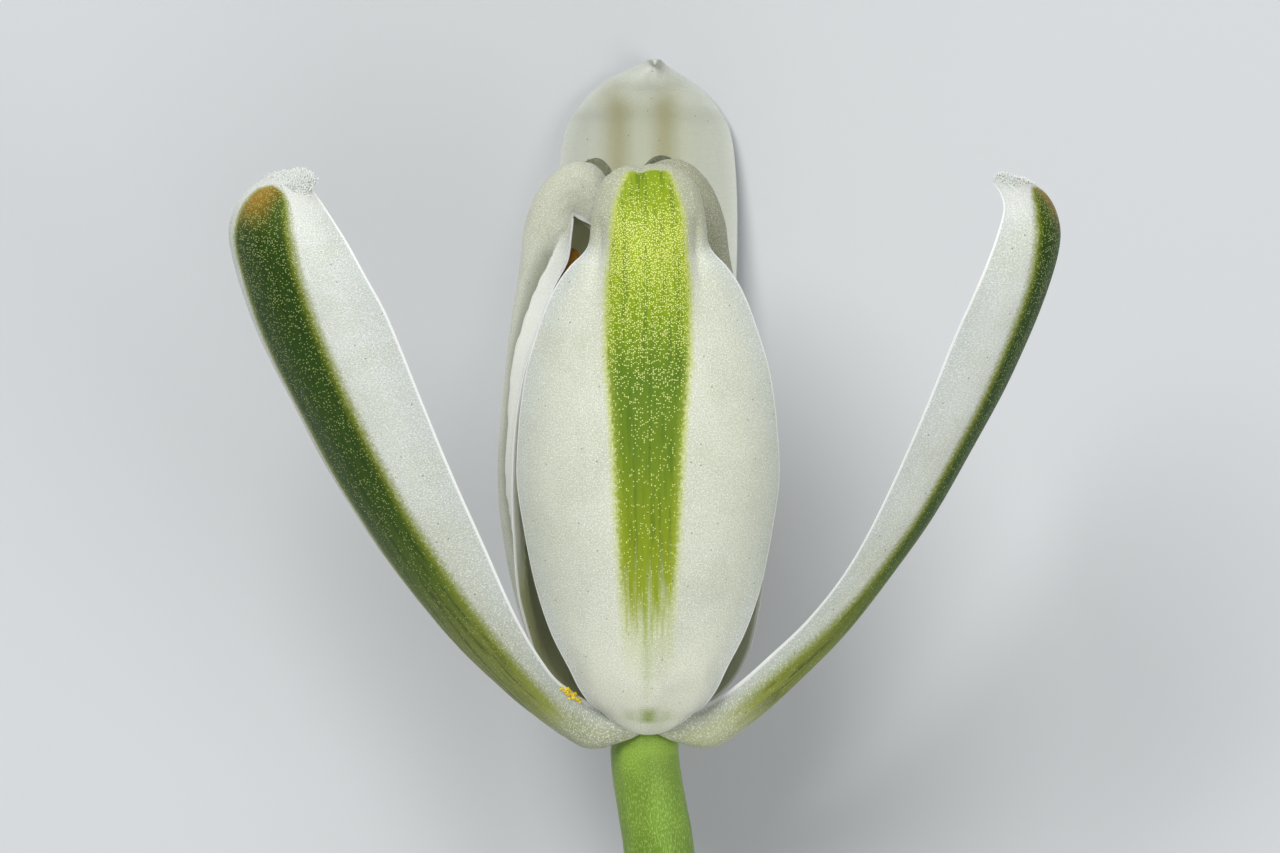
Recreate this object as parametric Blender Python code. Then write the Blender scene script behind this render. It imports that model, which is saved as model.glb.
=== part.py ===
"""Slime lily flower, cut with a length of its stalk and laid on a table.

The flower lies on its back outer tepal and on the cut end of its stalk. Its axis rises a little from
the table, along +Y, and its front inner tepal looks up, along +Z. Tepals and filaments are closed
blades, each of which follows a row of stations from its base to its tip.
"""
import math
from dataclasses import dataclass

import bmesh
import bpy
from mathutils import Vector

# Driving dimensions, in millimetres and degrees.
MM = 0.001
AXIS_RISE = 11.5  # of the flower's axis above the table
TABLE_DROP = 10.95  # from the flower's base down to the table
OUTER_AZIMUTH = {"left": 151.0, "right": 23.0, "back": 270.0}
INNER_AZIMUTH = {"front": 90.0, "left": 190.0, "right": 312.0}
OUTER_FILAMENT_AZIMUTH = {"left": 140.0, "right": 21.0, "back": 251.0}  # midway between inner tepals
MARGIN_STARTS = 0.75  # share of the half width past which a margin rolls outwards
MARGIN_THINNING = 0.3  # share of a blade's thickness that its margins lack

RISE = math.radians(AXIS_RISE)
SIDE = Vector((1, 0, 0))
AXIS = Vector((0, math.cos(RISE), math.sin(RISE)))
FRONT = Vector((0, -math.sin(RISE), math.cos(RISE)))

# Stations from base to tip: reach from the axis, height, half width, curvature across, thickness.
OUTER_STATIONS = (
    (1.55, -0.15, 1.50, 0.12, 0.60),
    (2.05, -0.32, 1.60, 0.18, 0.65),
    (2.75, -0.15, 1.60, 0.24, 0.70),
    (3.80, 0.60, 1.60, 0.30, 0.75),
    (5.35, 1.95, 1.75, 0.33, 0.85),
    (7.25, 3.90, 2.10, 0.35, 0.95),
    (9.30, 6.50, 2.65, 0.34, 1.05),
    (11.20, 9.30, 3.10, 0.32, 1.05),
    (12.95, 12.35, 3.45, 0.30, 1.05),
    (14.40, 15.20, 3.55, 0.29, 1.05),
    (15.25, 17.40, 3.45, 0.29, 1.00),
    (15.62, 18.80, 3.10, 0.31, 0.95),
    (15.52, 19.75, 2.60, 0.35, 0.90),
    (15.10, 20.50, 2.00, 0.40, 0.85),
    (14.40, 20.95, 1.35, 0.45, 0.80),
    (13.40, 21.10, 0.60, 0.50, 0.65),
)
INNER_STATIONS = (
    (1.45, 0.46, 0.95, 0.40, 0.60),
    (1.95, 0.70, 1.65, 0.32, 0.60),
    (2.55, 1.08, 2.17, 0.27, 0.60),
    (3.20, 1.70, 2.65, 0.25, 0.65),
    (3.85, 2.60, 3.16, 0.24, 0.70),
    (4.35, 3.80, 3.92, 0.22, 0.75),
    (4.80, 5.40, 4.70, 0.21, 0.80),
    (5.15, 7.30, 5.25, 0.20, 0.85),
    (5.30, 9.40, 5.62, 0.19, 0.85),
    (5.20, 11.60, 5.45, 0.19, 0.85),
    (5.00, 13.50, 5.01, 0.19, 0.85),
    (4.80, 15.00, 4.44, 0.20, 0.90),
    (4.62, 16.20, 3.80, 0.21, 0.95),
    (4.50, 17.20, 3.00, 0.23, 1.00),
    (4.38, 18.10, 2.12, 0.28, 1.00),
    (4.05, 19.10, 2.15, 0.33, 0.95),
    (3.45, 19.95, 2.05, 0.37, 0.90),
    (2.70, 20.40, 1.85, 0.36, 0.85),
    (2.00, 20.30, 1.65, 0.30, 0.80),
    (1.55, 19.80, 1.50, 0.20, 0.75),
    (1.50, 19.10, 1.40, 0.10, 0.70),
    (1.62, 18.55, 1.20, 0.05, 0.65),
    (1.80, 18.10, 0.75, 0.05, 0.60),
)
# The side inner tepals are narrower, and their hoods close round the anthers: half width and curvature at
# each station.
INNER_SIDE_SECTIONS = {
    "left": (
        (0.95, 0.40), (1.35, 0.34), (1.75, 0.27), (2.00, 0.25), (2.30, 0.24), (2.70, 0.22), (2.95, 0.20), (3.10, 0.19),
        (3.10, 0.19), (3.00, 0.20), (2.80, 0.30), (2.60, 0.42), (2.50, 0.58), (2.70, 0.66), (2.60, 0.66), (2.15, 0.58),
        (1.90, 0.50), (1.80, 0.45), (1.65, 0.35), (1.50, 0.22), (1.40, 0.12), (1.20, 0.05), (0.75, 0.05),
    ),
    "right": (
        (0.90, 0.40), (1.25, 0.34), (1.55, 0.27), (1.85, 0.25), (2.00, 0.23), (2.05, 0.23), (2.12, 0.23), (2.30, 0.24),
        (2.50, 0.25), (2.60, 0.28), (2.65, 0.35), (2.80, 0.43), (3.05, 0.50), (3.20, 0.52), (2.90, 0.54), (2.25, 0.54),
        (1.90, 0.50), (1.80, 0.45), (1.65, 0.35), (1.50, 0.22), (1.40, 0.12), (1.20, 0.05), (0.75, 0.05),
    ),
}
INNER_FILAMENT_STATIONS = (
    (2.38, 2.20, 0.90, 0.22, 0.60),
    (2.66, 3.30, 0.90, 0.22, 0.60),
    (2.92, 5.00, 0.80, 0.20, 0.60),
    (3.08, 8.00, 0.65, 0.15, 0.60),
    (3.10, 11.50, 0.50, 0.10, 0.60),
    (3.02, 14.55, 0.35, 0.10, 0.60),
)
OUTER_FILAMENT_STATIONS = (
    (2.40, 2.30, 0.45, 0.20, 0.55),
    (2.65, 3.40, 0.45, 0.20, 0.60),
    (2.90, 5.20, 0.42, 0.20, 0.60),
    (3.00, 8.00, 0.38, 0.15, 0.60),
    (2.95, 11.20, 0.30, 0.10, 0.60),
)
# The stalk's middle line from the flower down to its cut end, and its radius.
STALK_STATIONS = (
    (-0.02, 0.45, 0.09, 0.70),
    (-0.04, 0.10, 0.02, 0.72),
    (-0.08, -0.35, -0.08, 0.80),
    (-0.12, -0.72, -0.17, 1.17),
    (-0.04, -1.50, -0.36, 1.19),
    (0.18, -2.80, -0.68, 1.21),
    (0.40, -4.20, -1.05, 1.22),
    (0.90, -8.80, -2.42, 1.22),
    (1.22, -14.80, -4.50, 1.20),
    (1.22, -21.30, -6.85, 1.18),
    (0.98, -28.00, -8.64, 1.15),
    (0.60, -34.40, -9.84, 1.14),
)
# The pistil's radius at each height: ovary, style and stigma.
PISTIL_STATIONS = (
    (0.78, 0.42),
    (1.20, 0.86),
    (2.00, 1.30),
    (3.20, 1.54),
    (4.60, 1.60),
    (6.00, 1.50),
    (7.10, 1.10),
    (8.20, 0.76),
    (10.20, 0.68),
    (12.60, 0.70),
    (14.20, 0.82),
    (15.20, 0.98),
    (15.90, 0.80),
    (16.30, 0.35),
)
PISTIL_LOBES = 0.09  # how far its three lobes stand out, as a share of its radius
ANTHER_FROM, ANTHER_TO = 14.85, 17.30  # heights
ANTHER_REACH = 2.75
ANTHER_HALF_WIDTH, ANTHER_HALF_DEPTH = 0.52, 0.36
ANTHER_GROOVE = 0.3  # depth of the groove between its two lobes, as a share of its depth
FILAMENT_LEANING = {"right": 0.9}  # towards the axis, as the tepal beside it leans


def smooth_step(x):
    """0 up to x = 0, 1 from x = 1, and a smooth rise between."""
    x = min(max(x, 0.0), 1.0)
    return x * x * (3.0 - 2.0 * x)


def along(stations, share):
    """The stations' values at a share of their row, on a smooth curve through all of them."""
    last = len(stations) - 1
    place = min(max(share, 0.0), 1.0) * last
    start = min(int(place), last - 1)
    f = place - start
    rows = [stations[min(max(k, 0), last)] for k in range(start - 1, start + 3)]
    weights = (
        0.5 * (-f + 2 * f * f - f**3),
        0.5 * (2 - 5 * f * f + 3 * f**3),
        0.5 * (f + 4 * f * f - 3 * f**3),
        0.5 * (-f * f + f**3),
    )
    return [sum(w * v for w, v in zip(weights, values)) for values in zip(*rows)]


def around(azimuth, reach, height):
    """The point at a reach from the flower's axis, a height along it, and an azimuth round it."""
    turn = math.radians(azimuth)
    return reach * (math.cos(turn) * SIDE + math.sin(turn) * FRONT) + height * AXIS


@dataclass(frozen=True)
class Blade:
    """A tepal or filament: the stations that its back follows, and how this one departs from them."""

    azimuth: float
    stations: tuple
    twist: float = 0.0  # degrees, reached by the middle of the blade
    curving: float = 1.0  # factor on the curvature across
    widening: float = 1.0  # factor on the width
    lengthening: float = 1.0  # factor on the height
    leaning: float = 0.0  # towards the axis, gained along the blade
    leaning_from: float = 0.0  # share of its length at which the leaning begins
    roll: float = 0.0  # of the margins, outwards

    def rib(self, share):
        """The back of the midrib at a share of the row, and the other values there."""
        reach, height, half, curve, thick = along(self.stations, share)
        reach -= self.leaning * smooth_step(2.0 * (share - self.leaning_from))
        rib = around(self.azimuth, reach, height * self.lengthening)
        return rib, half * self.widening, curve * self.curving, thick

    def back(self, share, across):
        """The point of the blade's back, at a share of its length and from -1 to 1 across."""
        rib, half, curve, _ = self.rib(share)
        ahead = self.rib(min(share + 0.01, 1.0))[0] - self.rib(max(share - 0.01, 0.0))[0]
        sideways = around(self.azimuth + 90.0, 1.0, 0.0)
        outwards = ahead.normalized().cross(sideways)
        turn = math.radians(self.twist) * smooth_step(2.0 * share)
        normal = math.cos(turn) * outwards + math.sin(turn) * sideways
        level = math.cos(turn) * sideways - math.sin(turn) * outwards
        angle = curve * half * across
        edge = max(abs(across) - MARGIN_STARTS, 0.0) / (1.0 - MARGIN_STARTS)
        rolled = self.roll * edge**2 * smooth_step(5.0 * share) * smooth_step(5.0 * (0.66 - share))
        lowered = (1.0 - math.cos(angle)) / curve - rolled
        return rib + math.sin(angle) / curve * level - lowered * normal

    def point(self, share, angle):
        """The point of the closed blade, at an angle round its section: 0 and 180 are the margins."""
        across = math.copysign(abs(math.cos(angle)) ** 0.9, math.cos(angle))
        depth = 0.5 - 0.5 * math.copysign(abs(math.sin(angle)) ** 0.5, math.sin(angle))
        step = 0.02
        edge = min(max(across, -1.0 + step), 1.0 - step)
        middle = min(max(share, step), 1.0 - step)
        over = self.back(middle, edge + step) - self.back(middle, edge - step)
        up = self.back(middle + step, edge) - self.back(middle - step, edge)
        inwards = over.cross(up).normalized()
        thick = self.rib(share)[3] * (1.0 - MARGIN_THINNING * across**4)
        return self.back(share, across) + depth * thick * inwards


def closed_sweep(sides, rings, point):
    """A closed shape from a sphere: its rings follow point(share, angle), and its poles close the ends."""
    shape = bmesh.new()
    bmesh.ops.create_uvsphere(shape, u_segments=sides, v_segments=rings + 1, radius=1.0)
    for vert in shape.verts:
        ring = round(math.acos(max(-1.0, min(1.0, -vert.co.z))) / math.pi * (rings + 1))
        share = min(max((ring - 1) / (rings - 1), 0.0), 1.0)
        if ring in (0, rings + 1):
            vert.co = (point(share, math.pi / 2) + point(share, -math.pi / 2)) / 2
        else:
            vert.co = point(share, math.atan2(vert.co.y, vert.co.x))
    if shape.calc_volume(signed=True) < 0:
        bmesh.ops.reverse_faces(shape, faces=shape.faces)
    return shape


def material(name, colour, roughness):
    """A plain material."""
    made = bpy.data.materials.new(name)
    made.use_nodes = True
    surface = made.node_tree.nodes["Principled BSDF"]
    surface.inputs["Base Color"].default_value = (*colour, 1.0)
    surface.inputs["Roughness"].default_value = roughness
    made.diffuse_color = (*colour, 1.0)
    return made


def finished(name, shape, look, place):
    """An object in metres, in its place, from a shape in millimetres."""
    bmesh.ops.scale(shape, vec=(MM, MM, MM), verts=shape.verts)
    mesh = bpy.data.meshes.new(name)
    shape.to_mesh(mesh)
    shape.free()
    mesh.shade_smooth()
    mesh.materials.append(look)
    made = bpy.data.objects.new(name, mesh)
    place(made)
    return made


def build_outer_tepals(place):
    """Three spreading tepals. The back one is pressed flat where it rests on the table."""
    look = material("outer_tepal_flesh", (0.66, 0.68, 0.62), 0.45)
    changes = {
        "left": {"twist": -19.0, "lengthening": 1.01},
        "right": {"twist": -12.0},
        "back": {"curving": 0.72, "lengthening": 1.01},
    }
    for side, azimuth in OUTER_AZIMUTH.items():
        blade = Blade(azimuth, OUTER_STATIONS, **changes[side])
        shape = closed_sweep(20, 25, blade.point)
        for vert in shape.verts:
            vert.co.z = max(vert.co.z, -TABLE_DROP)
        finished(f"outer_tepal_{side}", shape, look, place)


def build_inner_tepals(place):
    """Three upright tepals with a hood, whose flap hangs down inside."""
    look = material("inner_tepal_flesh", (0.70, 0.74, 0.66), 0.4)
    changes = {
        "front": {"lengthening": 1.025, "curving": 0.97, "roll": 0.15},
        "left": {"roll": 0.3},
        "right": {"leaning": 1.1, "leaning_from": 0.08},
    }
    for side, azimuth in INNER_AZIMUTH.items():
        stations = INNER_STATIONS
        if side in INNER_SIDE_SECTIONS:
            stations = tuple(
                (reach, height, half, curve, thick)
                for (reach, height, _, _, thick), (half, curve) in zip(INNER_STATIONS, INNER_SIDE_SECTIONS[side])
            )
        blade = Blade(azimuth, stations, **changes[side])
        finished(f"inner_tepal_{side}", closed_sweep(22, 38, blade.point), look, place)


def build_filaments(place):
    """Six filaments: one before each tepal."""
    look = material("filament_flesh", (0.72, 0.76, 0.60), 0.45)
    for ring, azimuths, stations in (
        ("inner", INNER_AZIMUTH, INNER_FILAMENT_STATIONS),
        ("outer", OUTER_FILAMENT_AZIMUTH, OUTER_FILAMENT_STATIONS),
    ):
        for side, azimuth in azimuths.items():
            leaning = FILAMENT_LEANING.get(side, 0.0) if ring == "inner" else 0.0
            blade = Blade(azimuth, stations, leaning=leaning, leaning_from=0.45)
            finished(f"filament_{ring}_{side}", closed_sweep(10, 12, blade.point), look, place)


def build_anthers(place):
    """An anther of two lobes on each inner filament."""
    look = material("anther_pollen", (0.72, 0.42, 0.06), 0.7)
    middle = (ANTHER_FROM + ANTHER_TO) / 2
    half_length = (ANTHER_TO - ANTHER_FROM) / 2
    for side, azimuth in INNER_AZIMUTH.items():

        def point(share, angle, azimuth=azimuth):
            height = 2.0 * share - 1.0
            swell = 0.35 + 0.65 * math.sqrt(max(1.0 - height**4, 0.0))
            width = ANTHER_HALF_WIDTH * swell * math.cos(angle)
            groove = 1.0 - ANTHER_GROOVE * math.exp(-((math.cos(angle) / 0.35) ** 2))
            depth = ANTHER_HALF_DEPTH * swell * math.sin(angle) * groove
            reach = ANTHER_REACH - FILAMENT_LEANING.get(side, 0.0)
            centre = around(azimuth, reach + depth, middle + half_length * height)
            return centre + around(azimuth + 90.0, width, 0.0)

        finished(f"anther_{side}", closed_sweep(12, 9, point), look, place)


def build_pistil(place):
    """Ovary, style and stigma, which are one piece with three lobes."""
    look = material("pistil_flesh", (0.46, 0.60, 0.26), 0.4)

    def point(share, angle):
        height, radius = along(PISTIL_STATIONS, share)
        lobed = radius * (1.0 + PISTIL_LOBES * math.cos(3.0 * (angle - math.pi / 2)))
        return around(math.degrees(angle), lobed, height)

    finished("pistil", closed_sweep(24, 26, point), look, place)


def build_stalk(place):
    """The stalk, from the receptacle's neck to its cut end, which rests on the table."""
    look = material("stalk_skin", (0.16, 0.33, 0.06), 0.4)
    curve = bpy.data.curves.new("stalk", "CURVE")
    curve.dimensions = "3D"
    curve.bevel_depth = MM
    curve.bevel_resolution = 5
    curve.use_fill_caps = True
    steps = 3 * (len(STALK_STATIONS) - 1)
    spline = curve.splines.new("POLY")
    spline.points.add(steps)
    for step, point in enumerate(spline.points):
        *middle, radius = along(STALK_STATIONS, step / steps)
        point.co = (*(MM * value for value in middle), 1.0)
        point.radius = radius
    spline.use_smooth = True
    curve.materials.append(look)
    place(bpy.data.objects.new("stalk", curve))


def stand_on_origin(root, parts):
    """Moves the root so that the middle of the whole object's lowest face is at the origin."""
    bpy.context.view_layer.update()
    shapes = bpy.context.evaluated_depsgraph_get()
    points = []
    for part in parts:
        mesh = part.evaluated_get(shapes).to_mesh()
        points += [part.matrix_world @ vert.co for vert in mesh.vertices]
    low = [min(point[axis] for point in points) for axis in range(3)]
    high = [max(point[axis] for point in points) for axis in range(3)]
    root.location = (-(low[0] + high[0]) / 2, -(low[1] + high[1]) / 2, -low[2])
    bpy.context.view_layer.update()


def main():
    """Builds the flower."""
    for old in list(bpy.data.objects):
        bpy.data.objects.remove(old)
    flower = bpy.data.collections.new("slime_lily_flower")
    bpy.context.scene.collection.children.link(flower)
    root = bpy.data.objects.new("flower_root", None)
    flower.objects.link(root)
    parts = []

    def place(made):
        made.parent = root
        flower.objects.link(made)
        parts.append(made)

    build_stalk(place)
    build_outer_tepals(place)
    build_inner_tepals(place)
    build_pistil(place)
    build_filaments(place)
    build_anthers(place)
    stand_on_origin(root, parts)


main()
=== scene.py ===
"""Slime lily flower, cut and laid on a table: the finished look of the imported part.

The flower lies on its back outer tepal and the cut end of its stalk, and the camera looks straight down
on the face of its front inner tepal. Lengths are in millimetres in the flower's own frame, whose origin is
the flower's base, until a mesh is finished in metres.
"""
from __future__ import annotations

import logging
import math
import random
from dataclasses import dataclass, field
from enum import Enum
from typing import Any, Callable

import bmesh
import bpy
import numpy as np
from mathutils import Euler, Matrix, Vector, noise
from mathutils.bvhtree import BVHTree


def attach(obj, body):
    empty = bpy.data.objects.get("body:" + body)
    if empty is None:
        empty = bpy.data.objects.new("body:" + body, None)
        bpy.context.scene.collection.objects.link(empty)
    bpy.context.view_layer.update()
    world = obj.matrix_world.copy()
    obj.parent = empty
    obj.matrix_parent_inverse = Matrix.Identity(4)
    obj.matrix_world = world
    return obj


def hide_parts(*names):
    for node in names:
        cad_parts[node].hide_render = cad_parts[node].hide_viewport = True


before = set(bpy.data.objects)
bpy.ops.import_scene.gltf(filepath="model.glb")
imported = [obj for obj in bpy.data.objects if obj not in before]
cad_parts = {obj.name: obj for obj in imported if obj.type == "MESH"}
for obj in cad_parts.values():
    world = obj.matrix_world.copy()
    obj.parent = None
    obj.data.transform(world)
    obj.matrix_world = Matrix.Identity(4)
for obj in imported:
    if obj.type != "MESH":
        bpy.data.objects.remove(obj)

log = logging.getLogger("slime_lily")

MM = 0.001
BASE = Vector((0.104, 5.4986, 10.95))  # the flower's base in the part's frame
RISE = math.radians(11.5)  # of the flower's axis above the table
SIDE = np.array((1.0, 0.0, 0.0))
AXIS = np.array((0.0, math.cos(RISE), math.sin(RISE)))
FRONT = np.array((0.0, -math.sin(RISE), math.cos(RISE)))

# Stations from base to tip: reach from the axis, height, half width, curvature across, thickness. The first
# two rows of a tepal run into the flower's base, before the place where its solid starts.
OUTER_STATIONS = (
    (0.90, 0.32, 1.00, 0.10, 0.50),
    (1.22, 0.02, 1.30, 0.12, 0.55),
    (1.55, -0.17, 1.50, 0.14, 0.60),
    (2.05, -0.32, 1.60, 0.18, 0.65),
    (2.75, -0.15, 1.60, 0.24, 0.70),
    (3.80, 0.60, 1.60, 0.30, 0.75),
    (5.35, 1.95, 1.75, 0.33, 0.85),
    (7.25, 3.90, 2.10, 0.35, 0.95),
    (9.30, 6.50, 2.65, 0.34, 1.05),
    (11.20, 9.30, 3.10, 0.32, 1.05),
    (12.95, 12.35, 3.45, 0.30, 1.05),
    (14.40, 15.20, 3.55, 0.29, 1.05),
    (15.25, 17.40, 3.45, 0.29, 1.00),
    (15.62, 18.80, 3.20, 0.31, 0.95),
    (15.52, 19.75, 2.95, 0.35, 0.90),
    (15.10, 20.50, 2.60, 0.40, 0.85),
    (14.40, 20.95, 2.10, 0.46, 0.80),
    (13.40, 21.10, 1.20, 0.55, 0.65),
)
INNER_STATIONS = (
    (0.65, 0.46, 0.50, 0.40, 0.40),
    (1.20, 0.22, 0.95, 0.42, 0.55),
    (1.62, 0.40, 1.25, 0.40, 0.60),
    (2.02, 0.70, 1.65, 0.34, 0.60),
    (2.55, 1.08, 2.17, 0.27, 0.60),
    (3.20, 1.70, 2.65, 0.25, 0.65),
    (3.85, 2.60, 3.16, 0.24, 0.70),
    (4.35, 3.80, 3.92, 0.22, 0.75),
    (4.80, 5.40, 4.70, 0.21, 0.80),
    (5.15, 7.30, 5.25, 0.20, 0.85),
    (5.30, 9.40, 5.62, 0.19, 0.85),
    (5.20, 11.60, 5.45, 0.19, 0.85),
    (5.00, 13.50, 5.01, 0.19, 0.85),
    (4.80, 15.00, 4.44, 0.20, 0.90),
    (4.62, 16.20, 3.80, 0.21, 0.95),
    (4.50, 17.20, 3.00, 0.23, 1.00),
    (4.38, 18.10, 2.12, 0.28, 1.00),
    (4.05, 19.10, 2.15, 0.33, 0.95),
    (3.45, 19.95, 2.05, 0.37, 0.90),
    (2.70, 20.40, 1.85, 0.36, 0.85),
    (2.00, 20.30, 1.65, 0.30, 0.80),
    (1.55, 19.80, 1.50, 0.20, 0.75),
    (1.50, 19.10, 1.40, 0.10, 0.70),
    (1.62, 18.55, 1.20, 0.05, 0.65),
    (1.80, 18.10, 0.75, 0.05, 0.60),
)
# The side inner tepals are narrower, and their hoods close round the anthers: share along, half width and
# curvature.
LEFT_SECTION = (
    (-0.090, 0.50, 0.40), (-0.045, 0.95, 0.42), (0.0, 1.20, 0.40), (0.045, 1.50, 0.34), (0.090, 1.80, 0.27),
    (0.136, 2.00, 0.25), (0.182, 2.30, 0.24), (0.227, 2.70, 0.22), (0.273, 2.95, 0.20), (0.318, 3.10, 0.19),
    (0.364, 3.10, 0.19), (0.409, 3.00, 0.20), (0.455, 2.80, 0.31), (0.500, 2.60, 0.42), (0.545, 2.50, 0.60),
    (0.591, 2.77, 0.69), (0.636, 2.68, 0.72), (0.682, 2.35, 0.78), (0.727, 2.10, 0.72), (0.773, 1.95, 0.62),
    (0.818, 1.85, 0.50), (0.864, 1.75, 0.35), (0.909, 1.60, 0.25), (0.955, 1.30, 0.15), (1.0, 0.80, 0.10),
)
RIGHT_SECTION = (
    (-0.090, 0.50, 0.40), (-0.045, 0.80, 0.40), (0.0, 1.00, 0.38), (0.045, 1.30, 0.32), (0.090, 1.60, 0.27),
    (0.136, 1.88, 0.24), (0.182, 2.02, 0.22), (0.227, 2.08, 0.22), (0.273, 2.15, 0.23), (0.318, 2.30, 0.24),
    (0.364, 2.50, 0.25), (0.409, 2.60, 0.28), (0.455, 2.65, 0.35), (0.500, 2.80, 0.43), (0.545, 3.10, 0.50),
    (0.591, 3.40, 0.53), (0.636, 3.40, 0.55), (0.682, 2.90, 0.60), (0.727, 2.40, 0.62), (0.773, 2.10, 0.60),
    (0.818, 1.90, 0.50), (0.864, 1.75, 0.35), (0.909, 1.60, 0.25), (0.955, 1.30, 0.15), (1.0, 0.80, 0.10),
)
# Where margins lie: share along, then to the right, upwards in the view and to the front.
LEFT_RIM = (
    (0.227, -4.28, 3.50, 1.83), (0.273, -4.67, 5.01, 2.00), (0.318, -4.80, 6.82, 2.10),
    (0.364, -4.82, 8.80, 2.10), (0.409, -4.74, 10.93, 2.00), (0.455, -4.36, 12.90, 1.76),
    (0.500, -3.80, 14.45, 1.45), (0.545, -3.33, 15.66, 1.15), (0.591, -2.80, 16.60, 0.95),
    (0.636, -2.66, 17.50, 0.80), (0.682, -2.60, 18.05, 0.68), (0.727, -2.60, 18.18, 0.62),
    (0.773, -2.56, 18.20, 0.56), (0.818, -2.48, 18.12, 0.52), (0.864, -2.30, 18.02, 0.50),
    (0.909, -2.10, 17.93, 0.46), (0.955, -1.95, 17.85, 0.38), (1.0, -1.80, 17.80, 0.20),
)
LEFT_FAR_RIM = (
    (0.500, -3.20, 14.60, -2.40), (0.545, -2.40, 15.70, -2.20), (0.591, -1.75, 16.70, -1.95),
    (0.636, -1.55, 17.60, -1.70), (0.682, -1.60, 18.20, -1.50), (0.727, -1.70, 18.35, -1.30),
    (0.773, -1.80, 18.40, -1.10), (0.818, -1.85, 18.40, -1.0),
)
RIGHT_RIM = (
    (0.500, 3.00, 14.70, -0.10), (0.545, 2.50, 15.75, 0.20), (0.591, 1.75, 16.70, 0.45),
    (0.636, 1.60, 17.60, 0.45), (0.682, 1.60, 18.20, 0.30), (0.727, 1.60, 18.30, 0.20),
    (0.773, 1.58, 18.33, 0.10), (0.818, 1.50, 18.30, 0.05), (0.864, 1.35, 18.20, 0.0),
    (0.909, 1.20, 18.10, -0.05), (0.955, 1.10, 18.02, -0.10), (1.0, 0.90, 18.00, -0.30),
)
OUTER_LEFT_RIM = (
    (0.0, -0.25, 0.35, 1.10), (0.067, -0.90, 0.75, 1.40), (0.133, -1.85, 1.05, 1.50),
    (0.200, -2.75, 1.60, 2.20), (0.267, -3.50, 2.30, 3.30), (0.333, -4.55, 4.00, 4.55),
    (0.400, -5.75, 6.70, 5.50), (0.467, -6.90, 9.30, 6.35), (0.533, -8.00, 12.00, 7.15),
    (0.600, -9.05, 14.60, 7.85), (0.667, -9.85, 16.10, 8.10), (0.733, -10.45, 17.20, 8.00),
    (0.800, -10.95, 18.00, 7.80), (0.867, -11.35, 18.60, 7.50), (0.933, -11.65, 19.00, 7.20),
    (1.0, -11.90, 19.35, 6.90),
)
OUTER_RIGHT_RIM = (
    (0.0, 0.40, 0.35, 1.10), (0.067, 1.15, 0.70, 1.40), (0.133, 1.95, 1.05, 1.50),
    (0.200, 2.90, 1.60, 2.10), (0.267, 4.10, 2.62, 3.20), (0.333, 5.60, 4.05, 4.30),
    (0.400, 7.10, 6.00, 5.50), (0.467, 8.45, 8.60, 6.60), (0.533, 9.65, 11.35, 7.50),
    (0.600, 10.70, 13.95, 8.15), (0.667, 11.35, 15.40, 8.30), (0.733, 11.85, 16.60, 8.20),
    (0.800, 12.20, 17.60, 7.90), (0.867, 12.40, 18.40, 7.50), (0.933, 12.30, 18.95, 7.00),
    (1.0, 12.05, 19.35, 6.50),
)
# The fold on the left inner tepal: share along, and how far it lies from the margin.
FOLD_LINE = (
    (0.28, 0.30), (0.30, 0.55), (0.33, 0.80), (0.36, 1.10), (0.41, 1.25), (0.45, 1.40), (0.50, 1.12),
    (0.55, 0.85), (0.59, 0.78), (0.63, 0.45), (0.65, 0.20),
)
# The back tepal is flatter, and ends in a small beak.
BACK_SECTION = (
    (-0.133, 1.00, 0.07), (-0.067, 1.30, 0.09), (0.0, 1.50, 0.10), (0.067, 1.60, 0.13), (0.133, 1.60, 0.17),
    (0.200, 1.60, 0.22), (0.267, 1.75, 0.24), (0.333, 2.10, 0.25), (0.400, 2.65, 0.245), (0.467, 3.10, 0.23),
    (0.533, 3.45, 0.215), (0.600, 3.55, 0.21), (0.667, 3.42, 0.21), (0.733, 3.10, 0.22), (0.800, 2.62, 0.24),
    (0.834, 2.10, 0.20), (0.867, 1.42, 0.15), (0.900, 0.72, 0.12), (0.933, 0.32, 0.10), (0.967, 0.16, 0.10),
    (1.0, 0.06, 0.10),
)
INNER_FILAMENT_STATIONS = (
    (1.60, 1.20, 0.70, 0.22, 0.50),
    (2.38, 2.20, 0.90, 0.22, 0.60),
    (2.66, 3.30, 0.90, 0.22, 0.60),
    (2.92, 5.00, 0.80, 0.20, 0.60),
    (3.08, 8.00, 0.65, 0.15, 0.55),
    (3.10, 11.50, 0.50, 0.10, 0.50),
    (3.02, 14.95, 0.30, 0.10, 0.40),
)
OUTER_FILAMENT_STATIONS = (
    (1.60, 1.20, 0.40, 0.20, 0.45),
    (2.40, 2.30, 0.45, 0.20, 0.50),
    (2.65, 3.40, 0.45, 0.20, 0.55),
    (2.90, 5.20, 0.42, 0.20, 0.55),
    (3.00, 8.00, 0.38, 0.15, 0.50),
    (2.95, 11.20, 0.25, 0.10, 0.35),
)
# The stalk's middle line, from where the tepals clasp it down to its cut end, and its radius.
STALK_STATIONS = (
    (-0.08, 0.62, 0.10, 0.60),
    (-0.09, 0.30, 0.02, 1.02),
    (-0.10, -0.05, -0.04, 1.17),
    (-0.11, -0.40, -0.10, 1.18),
    (-0.12, -0.72, -0.17, 1.18),
    (-0.04, -1.50, -0.36, 1.19),
    (0.18, -2.80, -0.68, 1.21),
    (0.40, -4.20, -1.05, 1.22),
    (0.90, -8.80, -2.42, 1.22),
    (1.22, -14.80, -4.50, 1.20),
    (1.22, -21.30, -6.85, 1.18),
    (0.98, -28.00, -8.64, 1.15),
    (0.60, -34.40, -9.84, 1.14),
)
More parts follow.
